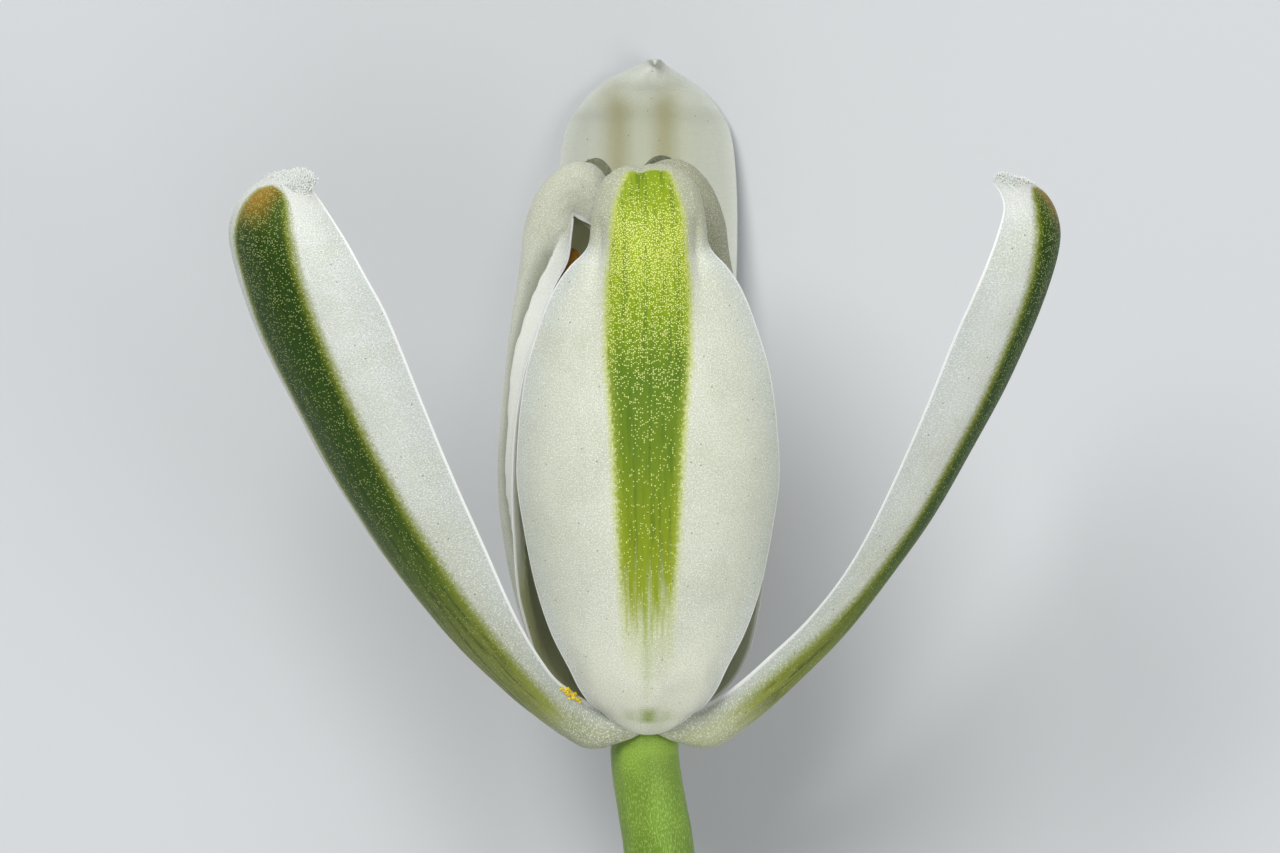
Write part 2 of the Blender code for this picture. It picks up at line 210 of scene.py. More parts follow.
# The pistil's radius at each height: ovary, style and stigma.
PISTIL_STATIONS = (
    (0.50, 0.42),
    (1.20, 0.86),
    (2.00, 1.30),
    (3.20, 1.54),
    (4.60, 1.60),
    (6.00, 1.50),
    (7.10, 1.10),
    (8.20, 0.76),
    (10.20, 0.68),
    (12.60, 0.70),
    (14.20, 0.82),
    (15.20, 0.98),
    (15.90, 0.80),
    (16.30, 0.35),
)


class Slot(str, Enum):
    """The record's material slots."""

    STALK = "stalk"
    OUTER = "outer_tepal"
    INNER = "inner_tepal"
    PISTIL = "pistil"
    FILAMENT = "filament"
    ANTHER = "anther"


Array = np.ndarray
Socket = bpy.types.NodeSocket


def linear(code: str) -> tuple[float, float, float, float]:
    """Turns an sRGB hex colour into linear light.

    Args:
        code: a colour such as "#A0B1C2".

    Returns:
        Red, green, blue and an alpha of 1.
    """
    parts = [int(code[k : k + 2], 16) / 255.0 for k in (1, 3, 5)]
    red, green, blue = (p / 12.92 if p <= 0.04045 else ((p + 0.055) / 1.055) ** 2.4 for p in parts)
    return red, green, blue, 1.0


def smooth_step(value: Array, low: float = 0.0, high: float = 1.0) -> Array:
    """A smooth rise from 0 at low to 1 at high."""
    x = np.clip((value - low) / (high - low), 0.0, 1.0)
    return x * x * (3.0 - 2.0 * x)


def hump(value: Array, middle: float, width: float) -> Array:
    """A smooth hump of height 1 round a middle."""
    return np.exp(-(((value - middle) / width) ** 2))


def along(stations: tuple, share: Array, extra: int = 0) -> Array:
    """Reads the stations' values on a smooth curve through all of them.

    Args:
        stations: one row for each station.
        share: places along the row, from 0 at the row after the extra ones to 1 at the last.
        extra: rows that come before share 0.

    Returns:
        One row of values for each place.
    """
    stations = np.array(stations)
    last = len(stations) - 1
    place = np.clip(share * (last - extra) + extra, 0.0, last)
    start = np.minimum(place.astype(int), last - 1)
    f = (place - start)[:, None]
    before, here, ahead, beyond = (stations[np.clip(start + k, 0, last)] for k in (-1, 0, 1, 2))
    return 0.5 * (
        (-f + 2 * f**2 - f**3) * before
        + (2 - 5 * f**2 + 3 * f**3) * here
        + (f + 4 * f**2 - 3 * f**3) * ahead
        + (f**3 - f**2) * beyond
    )


def through(rows: tuple, share: Array) -> Array:
    """Reads values that are given at uneven places, on a smooth curve through all of them.

    Args:
        rows: one row for each place: its share along, then its values.
        share: the places wanted.

    Returns:
        One row of values for each place.
    """
    table = np.array(rows)
    spots, values = table[:, 0], table[:, 1:]
    slopes = np.gradient(values, spots, axis=0)
    start = np.clip(np.searchsorted(spots, share) - 1, 0, len(spots) - 2)
    gap = (spots[start + 1] - spots[start])[:, None]
    f = np.clip((share - spots[start])[:, None] / gap, 0.0, 1.0)
    return (
        (1 + 2 * f) * (1 - f) ** 2 * values[start]
        + f**2 * (3 - 2 * f) * values[start + 1]
        + gap * (f * (1 - f) ** 2 * slopes[start] - f**2 * (1 - f) * slopes[start + 1])
    )


def around(azimuth: Array | float, reach: Array | float, height: Array | float) -> Array:
    """Places points round the flower's axis.

    Args:
        azimuth: degrees round it, from the flower's right.
        reach: distance from it.
        height: distance along it.

    Returns:
        One point for each place.
    """
    turn = np.radians(azimuth)
    out = np.multiply.outer(np.cos(turn) * reach, SIDE) + np.multiply.outer(np.sin(turn) * reach, FRONT)
    return out + np.multiply.outer(height, AXIS)


def arc(half: Array, angle: Array, across: Array, flatness: Array) -> tuple[Array, Array]:
    """Follows a curved section of a blade from its middle.

    Args:
        half: half its length.
        angle: how far it has turned at its margin.
        across: the place on it, from -1 to 1.
        flatness: 1 where it is a part of a circle, and more where its middle is flatter than its sides.

    Returns:
        How far the place lies to the side of the middle, and how far below it.
    """
    spots, weights = np.polynomial.legendre.leggauss(6)
    aside, below = np.zeros_like(across), np.zeros_like(across)
    for spot, weight in zip((spots + 1.0) / 2.0, weights / 2.0):
        turned = angle * (np.abs(across) * spot) ** flatness
        aside += weight * np.cos(turned) * across * half
        below += weight * np.sin(turned) * np.abs(across) * half
    return aside, below


def unit(vectors: Array) -> Array:
    """The vectors at length 1."""
    return vectors / np.maximum(np.linalg.norm(vectors, axis=1, keepdims=True), 1e-9)


def ripple(points: Array, size: float, seed: float = 0.0) -> Array:
    """Even noise from about -1 to 1 at each point.

    Args:
        points: places in millimetres.
        size: the width of one ripple in millimetres.
        seed: moves the noise to another place.

    Returns:
        One value for each point.
    """
    shift = Vector((seed, 1.7 * seed, 0.3 * seed))
    return np.array([noise.noise(Vector(p) / size + shift) for p in points])


@dataclass
class Skin:
    """Points of a closed surface, with what a material reads there."""

    points: Array
    blade: Array  # share across from -1 to 1, share along, and depth from back (0) to inside (1)
    skin: Array  # millimetres across and along, and the distance to the margin


def finish_piece(name: str, mesh: bpy.types.Mesh, material: bpy.types.Material) -> bpy.types.Object:
    """Makes a piece of the flower from a mesh in metres, and lets it ride on the root.

    Args:
        name: the piece's name.
        mesh: the mesh, already in its place.
        material: the finish.

    Returns:
        The piece.
    """
    mesh.shade_smooth()
    mesh.materials.append(material)
    piece = bpy.data.objects.new(name, mesh)
    bpy.context.scene.collection.objects.link(piece)
    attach(piece, "root")
    log.info("%s: %d faces", name, len(mesh.polygons))
    return piece


def sweep(name: str, sides: int, rings: int, place: Callable[[Array, Array], Skin]) -> bpy.types.Mesh:
    """Makes a closed mesh from a sphere whose rings follow a surface and whose poles close its ends.

    Args:
        name: the mesh's name.
        sides: points round each ring.
        rings: rings from base to tip.
        place: gives the surface at shares along it and angles round it.

    Returns:
        The mesh, in metres in the part's frame, with the attributes "blade" and "skin".
    """
    ball = bmesh.new()
    bmesh.ops.create_uvsphere(ball, u_segments=sides, v_segments=rings + 1, radius=1.0)
    at = np.array([vert.co for vert in ball.verts])
    ring = np.rint(np.arccos(np.clip(-at[:, 2], -1.0, 1.0)) / math.pi * (rings + 1))
    share = np.clip((ring - 1) / (rings - 1), 0.0, 1.0)
    angle = np.arctan2(at[:, 1], at[:, 0])
    pole = (ring == 0) | (ring == rings + 1)
    angle[pole] = math.pi / 2
    found = place(share, angle)
    other = place(share[pole], angle[pole] - math.pi)
    found.points[pole] = (found.points[pole] + other.points) / 2
    for vert, point in zip(ball.verts, found.points):
        vert.co = (Vector(point) + BASE) * MM
    if ball.calc_volume(signed=True) < 0:
        bmesh.ops.reverse_faces(ball, faces=ball.faces)
    mesh = bpy.data.meshes.new(name)
    ball.to_mesh(mesh)
    ball.free()
    for label, values in (("blade", found.blade), ("skin", found.skin)):
        layer = mesh.attributes.new(label, "FLOAT_VECTOR", "POINT")
        layer.data.foreach_set("vector", values.astype(np.float32).ravel())
    return mesh


# Finishes

RGBA = {"data_type": "RGBA"}  # a Mix node of colours
EASED = {"interpolation_type": "SMOOTHSTEP"}  # a Map Range node that starts and ends softly
FLAT = {"noise_dimensions": "2D"}  # noise on the skin, which has no depth
GRAIN = 17.0  # skin cells for each millimetre, which makes them 0.06 mm wide
RELIEF = 0.00003  # metres that the cells stand out


class Shader:
    """A material under construction, with its Principled surface."""

    def __init__(self, name: str, **surface: Any) -> None:
        """Starts a material.

        Args:
            name: the finish's name.
            surface: values of the surface's own sockets, with underscores for spaces.
        """
        self.material = bpy.data.materials.new(name)
        self.material.use_nodes = True
        self.tree = self.material.node_tree
        self.surface = self.tree.nodes["Principled BSDF"]
        for key, value in surface.items():
            self.surface.inputs[key.replace("_", " ")].default_value = value

    def add(
        self, kind: str, inputs: dict[Any, Any], output: Any = 0, stops: tuple = (), **settings: Any
    ) -> Socket:
        """Adds a node with its settings and links.

        Args:
            kind: the node's type, without its prefix.
            inputs: for each socket, the value or the output that feeds it.
            output: which output is wanted.
            stops: places and colours or values of a ramp.
            settings: the node's properties.

        Returns:
            The output socket.
        """
        node = self.tree.nodes.new("ShaderNode" + kind)
        for key, value in settings.items():
            setattr(node, key, value)
        for count, (spot, value) in enumerate(stops):
            ramp = node.color_ramp
            if count == 0:
                ramp.elements.remove(ramp.elements[1])
            element = ramp.elements.new(spot) if count else ramp.elements[0]
            element.position = spot
            element.color = linear(value) if isinstance(value, str) else (value, value, value, 1.0)
        for key, value in inputs.items():
            if isinstance(value, bpy.types.NodeSocket):
                self.tree.links.new(value, node.inputs[key])
            else:
                node.inputs[key].default_value = value
        return node.outputs[output]

    def feed(self, **links: Socket) -> None:
        """Links outputs to the surface's sockets, with underscores for spaces."""
        for key, value in links.items():
            self.tree.links.new(value, self.surface.inputs[key.replace("_", " ")])


@dataclass(frozen=True)
class Stripe:
    """The stripe down a tepal's back, where its flesh is thick and green."""

    widths: tuple  # share along and half width in millimetres
    density: tuple  # share along and how much of the stripe is green there
    colours: tuple  # share along and colour
    deep: str  # colour of its lengthwise lines
    edge: str  # colour of its soft border
    soft: float  # width of that border in millimetres
    paling: float  # how far the stripe itself turns to that colour beside it
    ragged: float  # how far its border strays, in millimetres
    speck: str  # colour of the painted highlight on the cells that glint
    specks: tuple  # share along and how many cells get that painted highlight
    tip: str | None = None  # colour of a burnished patch at its tip
    vein: bool = False  # whether a fine vein and a spot carry on to the base


INNER_STRIPE = Stripe(
    widths=((0.12, 0.40), (0.27, 0.92), (0.34, 1.10), (0.40, 1.24), (0.47, 1.50), (0.56, 1.48),
            (0.65, 1.22), (0.70, 1.10), (0.755, 0.72), (0.80, 0.62)),
    density=((0.18, 0.0), (0.22, 0.24), (0.26, 0.48), (0.30, 0.68), (0.35, 0.86), (0.40, 1.0),
             (0.752, 1.0), (0.764, 0.0)),
    colours=((0.20, "#A2AC30"), (0.32, "#86980A"), (0.40, "#668200"), (0.455, "#5C7C00"), (0.51, "#7E9A00"),
             (0.56, "#8CA600"), (0.62, "#98AE00"), (0.70, "#8CA400"), (0.77, "#88A000")),
    deep="#466A00", edge="#BCC64C", soft=0.14, paling=0.35, ragged=0.16, speck="#F6F7A0",
    specks=((0.22, 0.05), (0.40, 0.08), (0.44, 0.14), (0.48, 0.28), (0.53, 0.36), (0.60, 0.55), (0.65, 0.55),
            (0.69, 0.30), (0.73, 0.08)),
    vein=True,
)
OUTER_STRIPE = Stripe(
    widths=((0.08, 0.75), (0.22, 1.00), (0.34, 1.16), (0.46, 1.24), (0.60, 1.42), (0.74, 1.45),
            (0.82, 1.20), (0.87, 0.85), (0.90, 0.35), (0.915, 0.0)),
    density=((0.13, 0.0), (0.22, 0.55), (0.30, 1.0), (0.89, 1.0), (0.915, 0.0)),
    colours=((0.10, "#9CA25C"), (0.22, "#949B50"), (0.34, "#748034"), (0.40, "#50661A"), (0.46, "#344F06"),
             (0.60, "#284600"), (0.74, "#284400"), (0.86, "#42580A"), (0.93, "#5C6420")),
    deep="#1B3400", edge="#858F26", soft=0.16, paling=0.75, ragged=0.12, speck="#B0BA72",
    specks=((0.10, 0.04), (0.40, 0.08), (0.60, 0.14), (0.90, 0.28)), tip="#A27A1C",
)
BACK_STRIPE = Stripe(
    widths=((0.08, 0.75), (0.34, 1.16), (0.60, 1.42), (0.74, 1.30), (0.82, 0.80), (0.88, 0.0)),
    density=((0.10, 0.85), (0.30, 1.0), (0.84, 1.0), (0.88, 0.0)),
    colours=OUTER_STRIPE.colours, deep=OUTER_STRIPE.deep, edge=OUTER_STRIPE.edge, soft=0.30, paling=0.75,
    ragged=0.12, speck=OUTER_STRIPE.speck, specks=OUTER_STRIPE.specks,
)


@dataclass(frozen=True)
class TepalFlesh:
    """Living tepal flesh: white, slightly clear tissue under a waxy skin of tiny domed cells.

    The domed cells, about 0.06 mm wide, give it a fine glisten, and its thin margins let light through.
    """

    name: str
    stripe: Stripe
    white: str = "#DADDCB"
    # The base's tone: cream on the inner tepals, brightened there as painted light on a base that turns from
    # the lamps; olive on the outer ones, darker on the left one as painted shade.
    base_tone_and_light: str = "#FFFFE6"
    margin: str = "#C3CBC8"
    shade: str = "#C0C4B0"
    hood: str = "#A9AC8A"  # its tone on the tip
    inside: tuple = ((0.0, "#A9AC8C"),)  # share along and tone of the inner face, darkened there as painted shade or lightened as painted light
    inside_margin: str = "#B3B7AE"
    # The rim's tone: the thin margin's own paleness and a painted highlight where its edge catches light.
    rim: str = "#FAFBF6"
    rim_light_width: tuple = (0.05, 0.10, 0.95)  # millimetres in which the rim's painted highlight fades, and its strength
    glow: float = 0.35  # share of the light that wanders through the tissue
    base_tone_to: float = 0.30  # share along where the base's tone has faded
    hood_from: float = 0.60  # share along where the tip's tone begins
    stripe_at: float = 0.0  # millimetres across of the stripe's middle
    bands: tuple = ()  # millimetres across of faint bands on the inside
    burnt_side: float = 1.0  # the side of the stripe that is burnished at the tip
    gloss: float = 0.35  # level of the mirror reflection, which the domed cells break up
    painted_fold: tuple = ()  # share along and the width of a folded ribbon beside the margin at -1, with a painted highlight up to the fold and painted shade beyond it

    def material(self) -> bpy.types.Material:
        """Builds the finish.

        Returns:
            The material.
        """
        look = Shader(
            self.name, IOR=1.45, Subsurface_Weight=self.glow, Subsurface_Scale=0.0007,
            Subsurface_Radius=(1.0, 1.0, 0.8), Specular_IOR_Level=self.gloss,
        )
        blade = look.add("Attribute", {}, "Vector", attribute_name="blade")
        skin = look.add("Attribute", {}, "Vector", attribute_name="skin")
        share = look.add("SeparateXYZ", {0: blade}, 1)
        depth = look.add("SeparateXYZ", {0: blade}, 2)
        across = look.add("Math", {0: look.add("SeparateXYZ", {0: blade}, 0)}, operation="ABSOLUTE")
        to_margin = look.add("SeparateXYZ", {0: skin}, 2)
        wide = look.add("SeparateXYZ", {0: skin}, 0)
        grain = look.add(
            "TexNoise", {"Vector": skin, "Scale": GRAIN, "Detail": 3.0, "Roughness": 0.75}, **FLAT
        )
        ground = self._ground(look, share, across, skin, grain)
        outer = look.add("MapRange", {0: depth, 1: 0.35, 2: 0.62, 3: 1.0, 4: 0.0}, **EASED)
        inside = self._inside_light_and_shade(look, share, across, wide, grain)
        colour = look.add("Mix", {0: outer, 6: inside, 7: ground}, 2, **RGBA)
        beside = look.add("Math", {0: wide, 1: self.stripe_at}, operation="SUBTRACT")
        colour, green = self._striped(look, colour, share, beside, skin, outer)
        colour = self._painted_glints_and_dust(look, colour, share, skin, green, outer)
        if self.painted_fold:
            colour = self._paint_fold_light(look, colour, share, wide, to_margin)
        # The rim: the thin margin's paleness and a painted highlight along its edge.
        start, end, strength = self.rim_light_width
        rim_light = look.add("MapRange", {0: to_margin, 1: start, 2: end, 3: strength, 4: 0.0})
        colour = look.add("Mix", {0: rim_light, 6: colour, 7: linear(self.rim)}, 2, **RGBA)
        cells = look.add("TexVoronoi", {"Vector": skin, "Scale": GRAIN}, voronoi_dimensions="2D")
        height = look.add("Math", {0: cells, 1: 0.5, 2: grain}, operation="MULTIPLY_ADD")
        bumped = look.add("Bump", {"Strength": 0.7, "Distance": RELIEF, "Height": height})
        rough = look.add("MapRange", {0: grain, 1: 0.3, 2: 0.7, 3: 0.36, 4: 0.52})
        look.feed(Base_Color=colour, Normal=bumped, Roughness=rough)
        return look.material

    def _ground(self, look: Shader, share: Socket, across: Socket, skin: Socket, grain: Socket) -> Socket:
        """The colour of the flesh away from the stripe, with painted highlights on single skin cells.

        Args:
            look: the material under construction.
            share: how far along the tepal a place lies.
            across: how far it lies from the middle, up to 1 at the margin.
            skin: millimetres across and along.
            grain: the fine noise of the skin.

        Returns:
            The colour.
        """
        colour = linear(self.base_tone_and_light)
        cloud = look.add("TexNoise", {"Vector": skin, "Scale": 0.45, "Detail": 2.0}, **FLAT)  # over 2 mm wide
        for source, low, high, start, end, tone, blend in (
            (share, 0.05, self.base_tone_to, 0.0, 1.0, self.white, EASED),
            (across, 0.62, 1.0, 0.0, 0.75, self.margin, EASED),
            (cloud, 0.42, 0.70, 0.0, 0.42, self.shade, {}),
            (share, self.hood_from, self.hood_from + 0.07, 0.0, 0.85, self.hood, EASED),
            (grain, 0.42, 0.66, 0.0, 0.42, "#A3A894", {}),
            # painted highlight: a white glint on single skin cells
            (grain, 0.30, 0.44, 0.7, 0.0, "#F4F6EE", {}),
        ):
            there = look.add("MapRange", {0: source, 1: low, 2: high, 3: start, 4: end}, **blend)
            colour = look.add("Mix", {0: there, 6: colour, 7: linear(tone)}, 2, **RGBA)
        return colour

    def _inside_light_and_shade(self, look: Shader, share: Socket, across: Socket, wide: Socket, grain: Socket) -> Socket:
        """The colour of the inner face, with painted shade and painted light along it, and its faint bands.

        Args:
            look: the material under construction.
            share: how far along the tepal a place lies.
            across: how far it lies from the middle, up to 1 at the margin.
            wide: the same in millimetres, to the side.
            grain: the fine noise of the skin.

        Returns:
            The colour.
        """
        grainy = look.add("MapRange", {0: grain, 1: 0.3, 2: 0.7, 3: 0.0, 4: 0.2})
        plain = look.add("ValToRGB", {0: share}, 0, self.inside)
        colour = look.add("Mix", {0: grainy, 6: plain, 7: linear("#CDD0C0")}, 2, **RGBA)
        side = look.add("MapRange", {0: across, 1: 0.35, 2: 0.95, 3: 0.0, 4: 0.8}, **EASED)
        colour = look.add("Mix", {0: side, 6: colour, 7: linear(self.inside_margin)}, 2, **RGBA)
        for band in self.bands:
            away = look.add("Math", {0: wide, 1: band}, operation="SUBTRACT")
            away = look.add("Math", {0: away}, operation="ABSOLUTE")
            near = look.add("MapRange", {0: away, 1: 0.0, 2: 0.95, 3: 0.62, 4: 0.0}, **EASED)
            for low, high, start, end in ((0.35, 0.62, 0.0, 1.0), (0.80, 0.90, 1.0, 0.0)):
                within = look.add("MapRange", {0: share, 1: low, 2: high, 3: start, 4: end})
                near = look.add("Math", {0: near, 1: within}, operation="MULTIPLY")
            colour = look.add("Mix", {0: near, 6: colour, 7: linear("#938D60")}, 2, **RGBA)
        return colour

    def _striped(
        self, look: Shader, ground: Socket, share: Socket, wide: Socket, skin: Socket, outer: Socket
    ) -> tuple[Socket, Socket]:
        """Lays the stripe over the ground.

        Args:
            look: the material under construction.
            ground: the colour beside the stripe.
            share: how far along the tepal a place lies.
            wide: millimetres to the side of the stripe's middle.
            skin: millimetres across and along.
            outer: 1 on the tepal's back and 0 inside.

        Returns:
            The colour, and how green it is.
        """
        stripe = self.stripe
        half = look.add("ValToRGB", {0: share}, 0, tuple((s, w / 2.0) for s, w in stripe.widths))
        streaks = look.add("Mapping", {"Vector": skin, "Scale": (1.0, 0.06, 1.0)})
        # Streaks 0.18 mm wide, and a border that strays every 0.14 mm.
        streak = look.add("TexNoise", {0: streaks, "Scale": 5.5, "Detail": 3.0, "Roughness": 0.65}, **FLAT)
        wander = look.add("TexNoise", {0: skin, "Scale": 7.0, "Detail": 3.0, "Roughness": 0.7}, **FLAT)
        reach = look.add("Math", {0: wide}, operation="ABSOLUTE")
        reach = look.add("Math", {0: half, 1: -2.0, 2: reach}, operation="MULTIPLY_ADD")
        stray = look.add("MapRange", {0: wander, 1: 0.3, 2: 0.7, 3: -stripe.ragged / 2, 4: stripe.ragged / 2})
        reach = look.add("Math", {0: reach, 1: stray}, operation="ADD")
        soft = stripe.soft
        within = look.add("MapRange", {0: reach, 1: -soft, 2: soft * 0.4, 3: 1.0, 4: 0.0}, **EASED)
        border = look.add("MapRange", {0: reach, 1: 0.0, 2: soft * 1.6, 3: 0.7, 4: 0.0}, **EASED)
        density = look.add("ValToRGB", {0: share}, 0, stripe.density)
        dense = look.add("Math", {0: density, 1: 1.5, 2: -0.25}, operation="MULTIPLY_ADD")
        dense = look.add("Math", {0: dense, 1: streak}, operation="SUBTRACT")
        dense = look.add("MapRange", {0: dense, 1: -0.2, 2: 0.3})
        green = look.add("Math", {0: within, 1: dense}, operation="MULTIPLY")
        green = look.add("Math", {0: green, 1: outer}, operation="MULTIPLY")
        for factor in (outer, density):
            border = look.add("Math", {0: border, 1: factor}, operation="MULTIPLY")
        colour = look.add("Mix", {0: border, 6: ground, 7: linear(stripe.edge)}, 2, **RGBA)
        hue = look.add("ValToRGB", {0: share}, 0, stripe.colours)
        lines = look.add("MapRange", {0: streak, 1: 0.48, 2: 0.66, 3: 0.0, 4: 0.55})
        pale = look.add("MapRange", {0: reach, 1: -0.40, 2: 0.0, 3: 0.0, 4: stripe.paling}, **EASED)
        for there, tone in ((lines, stripe.deep), (pale, stripe.edge)):
            hue = look.add("Mix", {0: there, 6: hue, 7: linear(tone)}, 2, **RGBA)
        if stripe.tip:
            burnt = look.add("MapRange", {0: share, 1: 0.75, 2: 0.86, 3: 0.0, 4: 0.85}, **EASED)
            sided = look.add("Math", {0: wide, 1: self.burnt_side}, operation="MULTIPLY")
            one_side = look.add("MapRange", {0: sided, 1: -0.55, 2: 0.40, 3: 0.0, 4: 1.0})
            burnt = look.add("Math", {0: burnt, 1: one_side}, operation="MULTIPLY")
            hue = look.add("Mix", {0: burnt, 6: hue, 7: linear(stripe.tip)}, 2, **RGBA)
        colour = look.add("Mix", {0: green, 6: colour, 7: hue}, 2, **RGBA)
        if stripe.vein:
            colour = self._veined(look, colour, share, wide, outer)
        return colour, green

    def _veined(self, look: Shader, colour: Socket, share: Socket, wide: Socket, outer: Socket) -> Socket:
        """Adds the fine middle vein below the stripe, and the green spots at the base.

        Args:
            look: the material under construction.
            colour: the colour under them.
            share: how far along the tepal a place lies.
            wide: millimetres to the side of the stripe's middle.
            outer: 1 on the tepal's back and 0 inside.

        Returns:
            The colour.
        """
        for middle, width, low, high, strength in (
            (0.05, 0.28, 0.12, 0.36, 0.28), (0.0, 0.48, 0.05, 0.14, 0.85),
            (-0.60, 0.50, 0.06, 0.13, 0.30), (0.60, 0.50, 0.06, 0.13, 0.30),
        ):
            mark = outer
            for place, centre, solid, gone, full in (
                (wide, middle, 0.0, width, strength),
                (share, (low + high) / 2, (high - low) / 8, (high - low) / 2, 1.0),
            ):
                away = look.add("Math", {0: place, 1: centre}, operation="SUBTRACT")
                away = look.add("Math", {0: away}, operation="ABSOLUTE")
                near = look.add("MapRange", {0: away, 1: solid, 2: gone, 3: full, 4: 0.0}, **EASED)
                mark = look.add("Math", {0: mark, 1: near}, operation="MULTIPLY")
            colour = look.add("Mix", {0: mark, 6: colour, 7: linear("#8FA832")}, 2, **RGBA)
        return colour

    def _paint_fold_light(self, look: Shader, colour: Socket, share: Socket, wide: Socket, to_margin: Socket) -> Socket:
        """Paints light and shade beside a margin's fold: a painted highlight on the ribbon up to the fold, and
        painted shade beyond it.

        Args:
            look: the material under construction.
            colour: the colour under them.
            share: how far along the tepal a place lies.
            wide: millimetres to the side of the tepal's middle.
            to_margin: millimetres to the margin.

        Returns:
            The colour.
        """
        spots = np.linspace(self.painted_fold[0][0], self.painted_fold[-1][0], 28)
        stops = tuple(zip(spots, through(self.painted_fold, spots)[:, 0] / 2.0))
        line = look.add("ValToRGB", {0: share}, 0, stops)
        beyond = look.add("Math", {0: line, 1: -2.0, 2: to_margin}, operation="MULTIPLY_ADD")
        there = look.add("Math", {0: wide, 1: 0.0}, operation="LESS_THAN")
        for low, high, start, end in ((0.27, 0.32, 0.0, 1.0), (0.60, 0.64, 1.0, 0.0)):
            within = look.add("MapRange", {0: share, 1: low, 2: high, 3: start, 4: end})
            there = look.add("Math", {0: there, 1: within}, operation="MULTIPLY")
        pale = look.add("MapRange", {0: beyond, 1: -0.05, 2: 0.0, 3: 0.6, 4: 0.0})
        onset = look.add("MapRange", {0: beyond, 1: -0.02, 2: 0.04, 3: 0.0, 4: 0.75})
        fading = look.add("MapRange", {0: beyond, 1: 0.04, 2: 0.9, 3: 1.0, 4: 0.0}, **EASED)
        shade = look.add("Math", {0: onset, 1: fading}, operation="MULTIPLY")
        # a painted highlight on the ribbon, and painted shade beyond the fold
        for depth, tone in ((pale, "#F4F6F0"), (shade, "#7F8370")):
            depth = look.add("Math", {0: depth, 1: there}, operation="MULTIPLY")
            colour = look.add("Mix", {0: depth, 6: colour, 7: linear(tone)}, 2, **RGBA)
        return colour

    def _painted_glints_and_dust(
        self, look: Shader, colour: Socket, share: Socket, skin: Socket, green: Socket, outer: Socket
    ) -> Socket:
        """Adds painted highlights, the glint of single cells, and a few specks of dust.

        Args:
            look: the material under construction.
            colour: the colour under them.
            share: how far along the tepal a place lies.
            skin: millimetres across and along.
            green: how green the stripe is there.
            outer: 1 on the tepal's back and 0 inside.

        Returns:
            The colour.
        """
        cells = look.add("TexVoronoi", {"Vector": skin, "Scale": 16.0}, voronoi_dimensions="2D")  # 0.06 mm wide
        dot = look.add("MapRange", {0: cells, 1: 0.15, 2: 0.45, 3: 0.9, 4: 0.0})
        chance = look.add("SeparateColor", {0: cells.node.outputs["Color"]})
        many = look.add("ValToRGB", {0: share}, 0, self.stripe.specks)
        chosen = look.add("Math", {0: many, 1: 1.5}, operation="MULTIPLY")
        glint = look.add("Math", {0: chance, 1: chosen}, operation="LESS_THAN")
        white = look.add("MapRange", {0: chance, 1: 0.60, 2: 0.95, 3: 0.0, 4: 0.7})
        other = look.add("Math", {0: 1.0, 1: green}, operation="SUBTRACT")
        # painted highlights: glints of the stripe's colour on the stripe, and white ones beside it
        for lit, factors, tone in (
            (glint, (dot, green), self.stripe.speck), (white, (dot, outer, other), "#FDFEFA"),
        ):
            for factor in factors:
                lit = look.add("Math", {0: lit, 1: factor}, operation="MULTIPLY")
            colour = look.add("Mix", {0: lit, 6: colour, 7: linear(tone)}, 2, **RGBA)
        dust = look.add("TexVoronoi", {"Vector": skin, "Scale": 0.62}, voronoi_dimensions="2D")  # 1.6 mm apart
        dust = look.add("MapRange", {0: dust, 1: 0.010, 2: 0.022, 3: 0.7, 4: 0.0})
        return look.add("Mix", {0: dust, 6: colour, 7: linear("#3A4030")}, 2, **RGBA)


@dataclass(frozen=True)
class PlantSkin:
    """Smooth green or white plant skin with fine lengthwise specks, as on a stalk, filament or pistil."""

    name: str
    colours: tuple  # share along and colour
    speck: str
    roughness: float = 0.42
    speck_size: float = 0.10  # width of a speck in millimetres
    stretch: float = 0.28  # how much longer than wide the specks are, as width over length
    amount: float = 0.7
    subsurface: float = 0.2

    def material(self) -> bpy.types.Material:
        """Builds the finish.

        Returns:
            The material.
        """
        look = Shader(
            self.name, IOR=1.45, Subsurface_Weight=self.subsurface, Subsurface_Scale=0.0006,
            Subsurface_Radius=(0.8, 1.0, 0.5), Specular_IOR_Level=0.35,
        )
        blade = look.add("Attribute", {}, "Vector", attribute_name="blade")
        skin = look.add("Attribute", {}, "Vector", attribute_name="skin")
        share = look.add("SeparateXYZ", {0: blade}, 1)
        colour = look.add("ValToRGB", {0: share}, 0, self.colours)
        long = look.add("Mapping", {"Vector": skin, "Scale": (1.0, self.stretch, 1.0)})
        size = 1.0 / self.speck_size
        fine = look.add("TexNoise", {"Vector": long, "Scale": size, "Detail": 3.0, "Roughness": 0.7}, **FLAT)
        broad = look.add("TexNoise", {"Vector": long, "Scale": 1.1, "Detail": 2.0}, **FLAT)  # 0.9 mm wide
        specks = look.add("MapRange", {0: fine, 1: 0.50, 2: 0.68, 3: 0.0, 4: self.amount})
        colour = look.add("Mix", {0: specks, 6: colour, 7: linear(self.speck)}, 2, **RGBA)
        mottle = look.add("MapRange", {0: broad, 1: 0.35, 2: 0.65, 3: 0.86, 4: 1.08})
        colour = look.add("VectorMath", {0: colour, 3: mottle}, operation="SCALE")
        bumped = look.add("Bump", {"Strength": 0.5, "Distance": RELIEF, "Height": fine})
        dry, wet = self.roughness - 0.06, self.roughness + 0.08
        rough = look.add("MapRange", {0: fine, 1: 0.3, 2: 0.7, 3: dry, 4: wet})
        look.feed(Base_Color=colour, Normal=bumped, Roughness=rough)
        return look.material


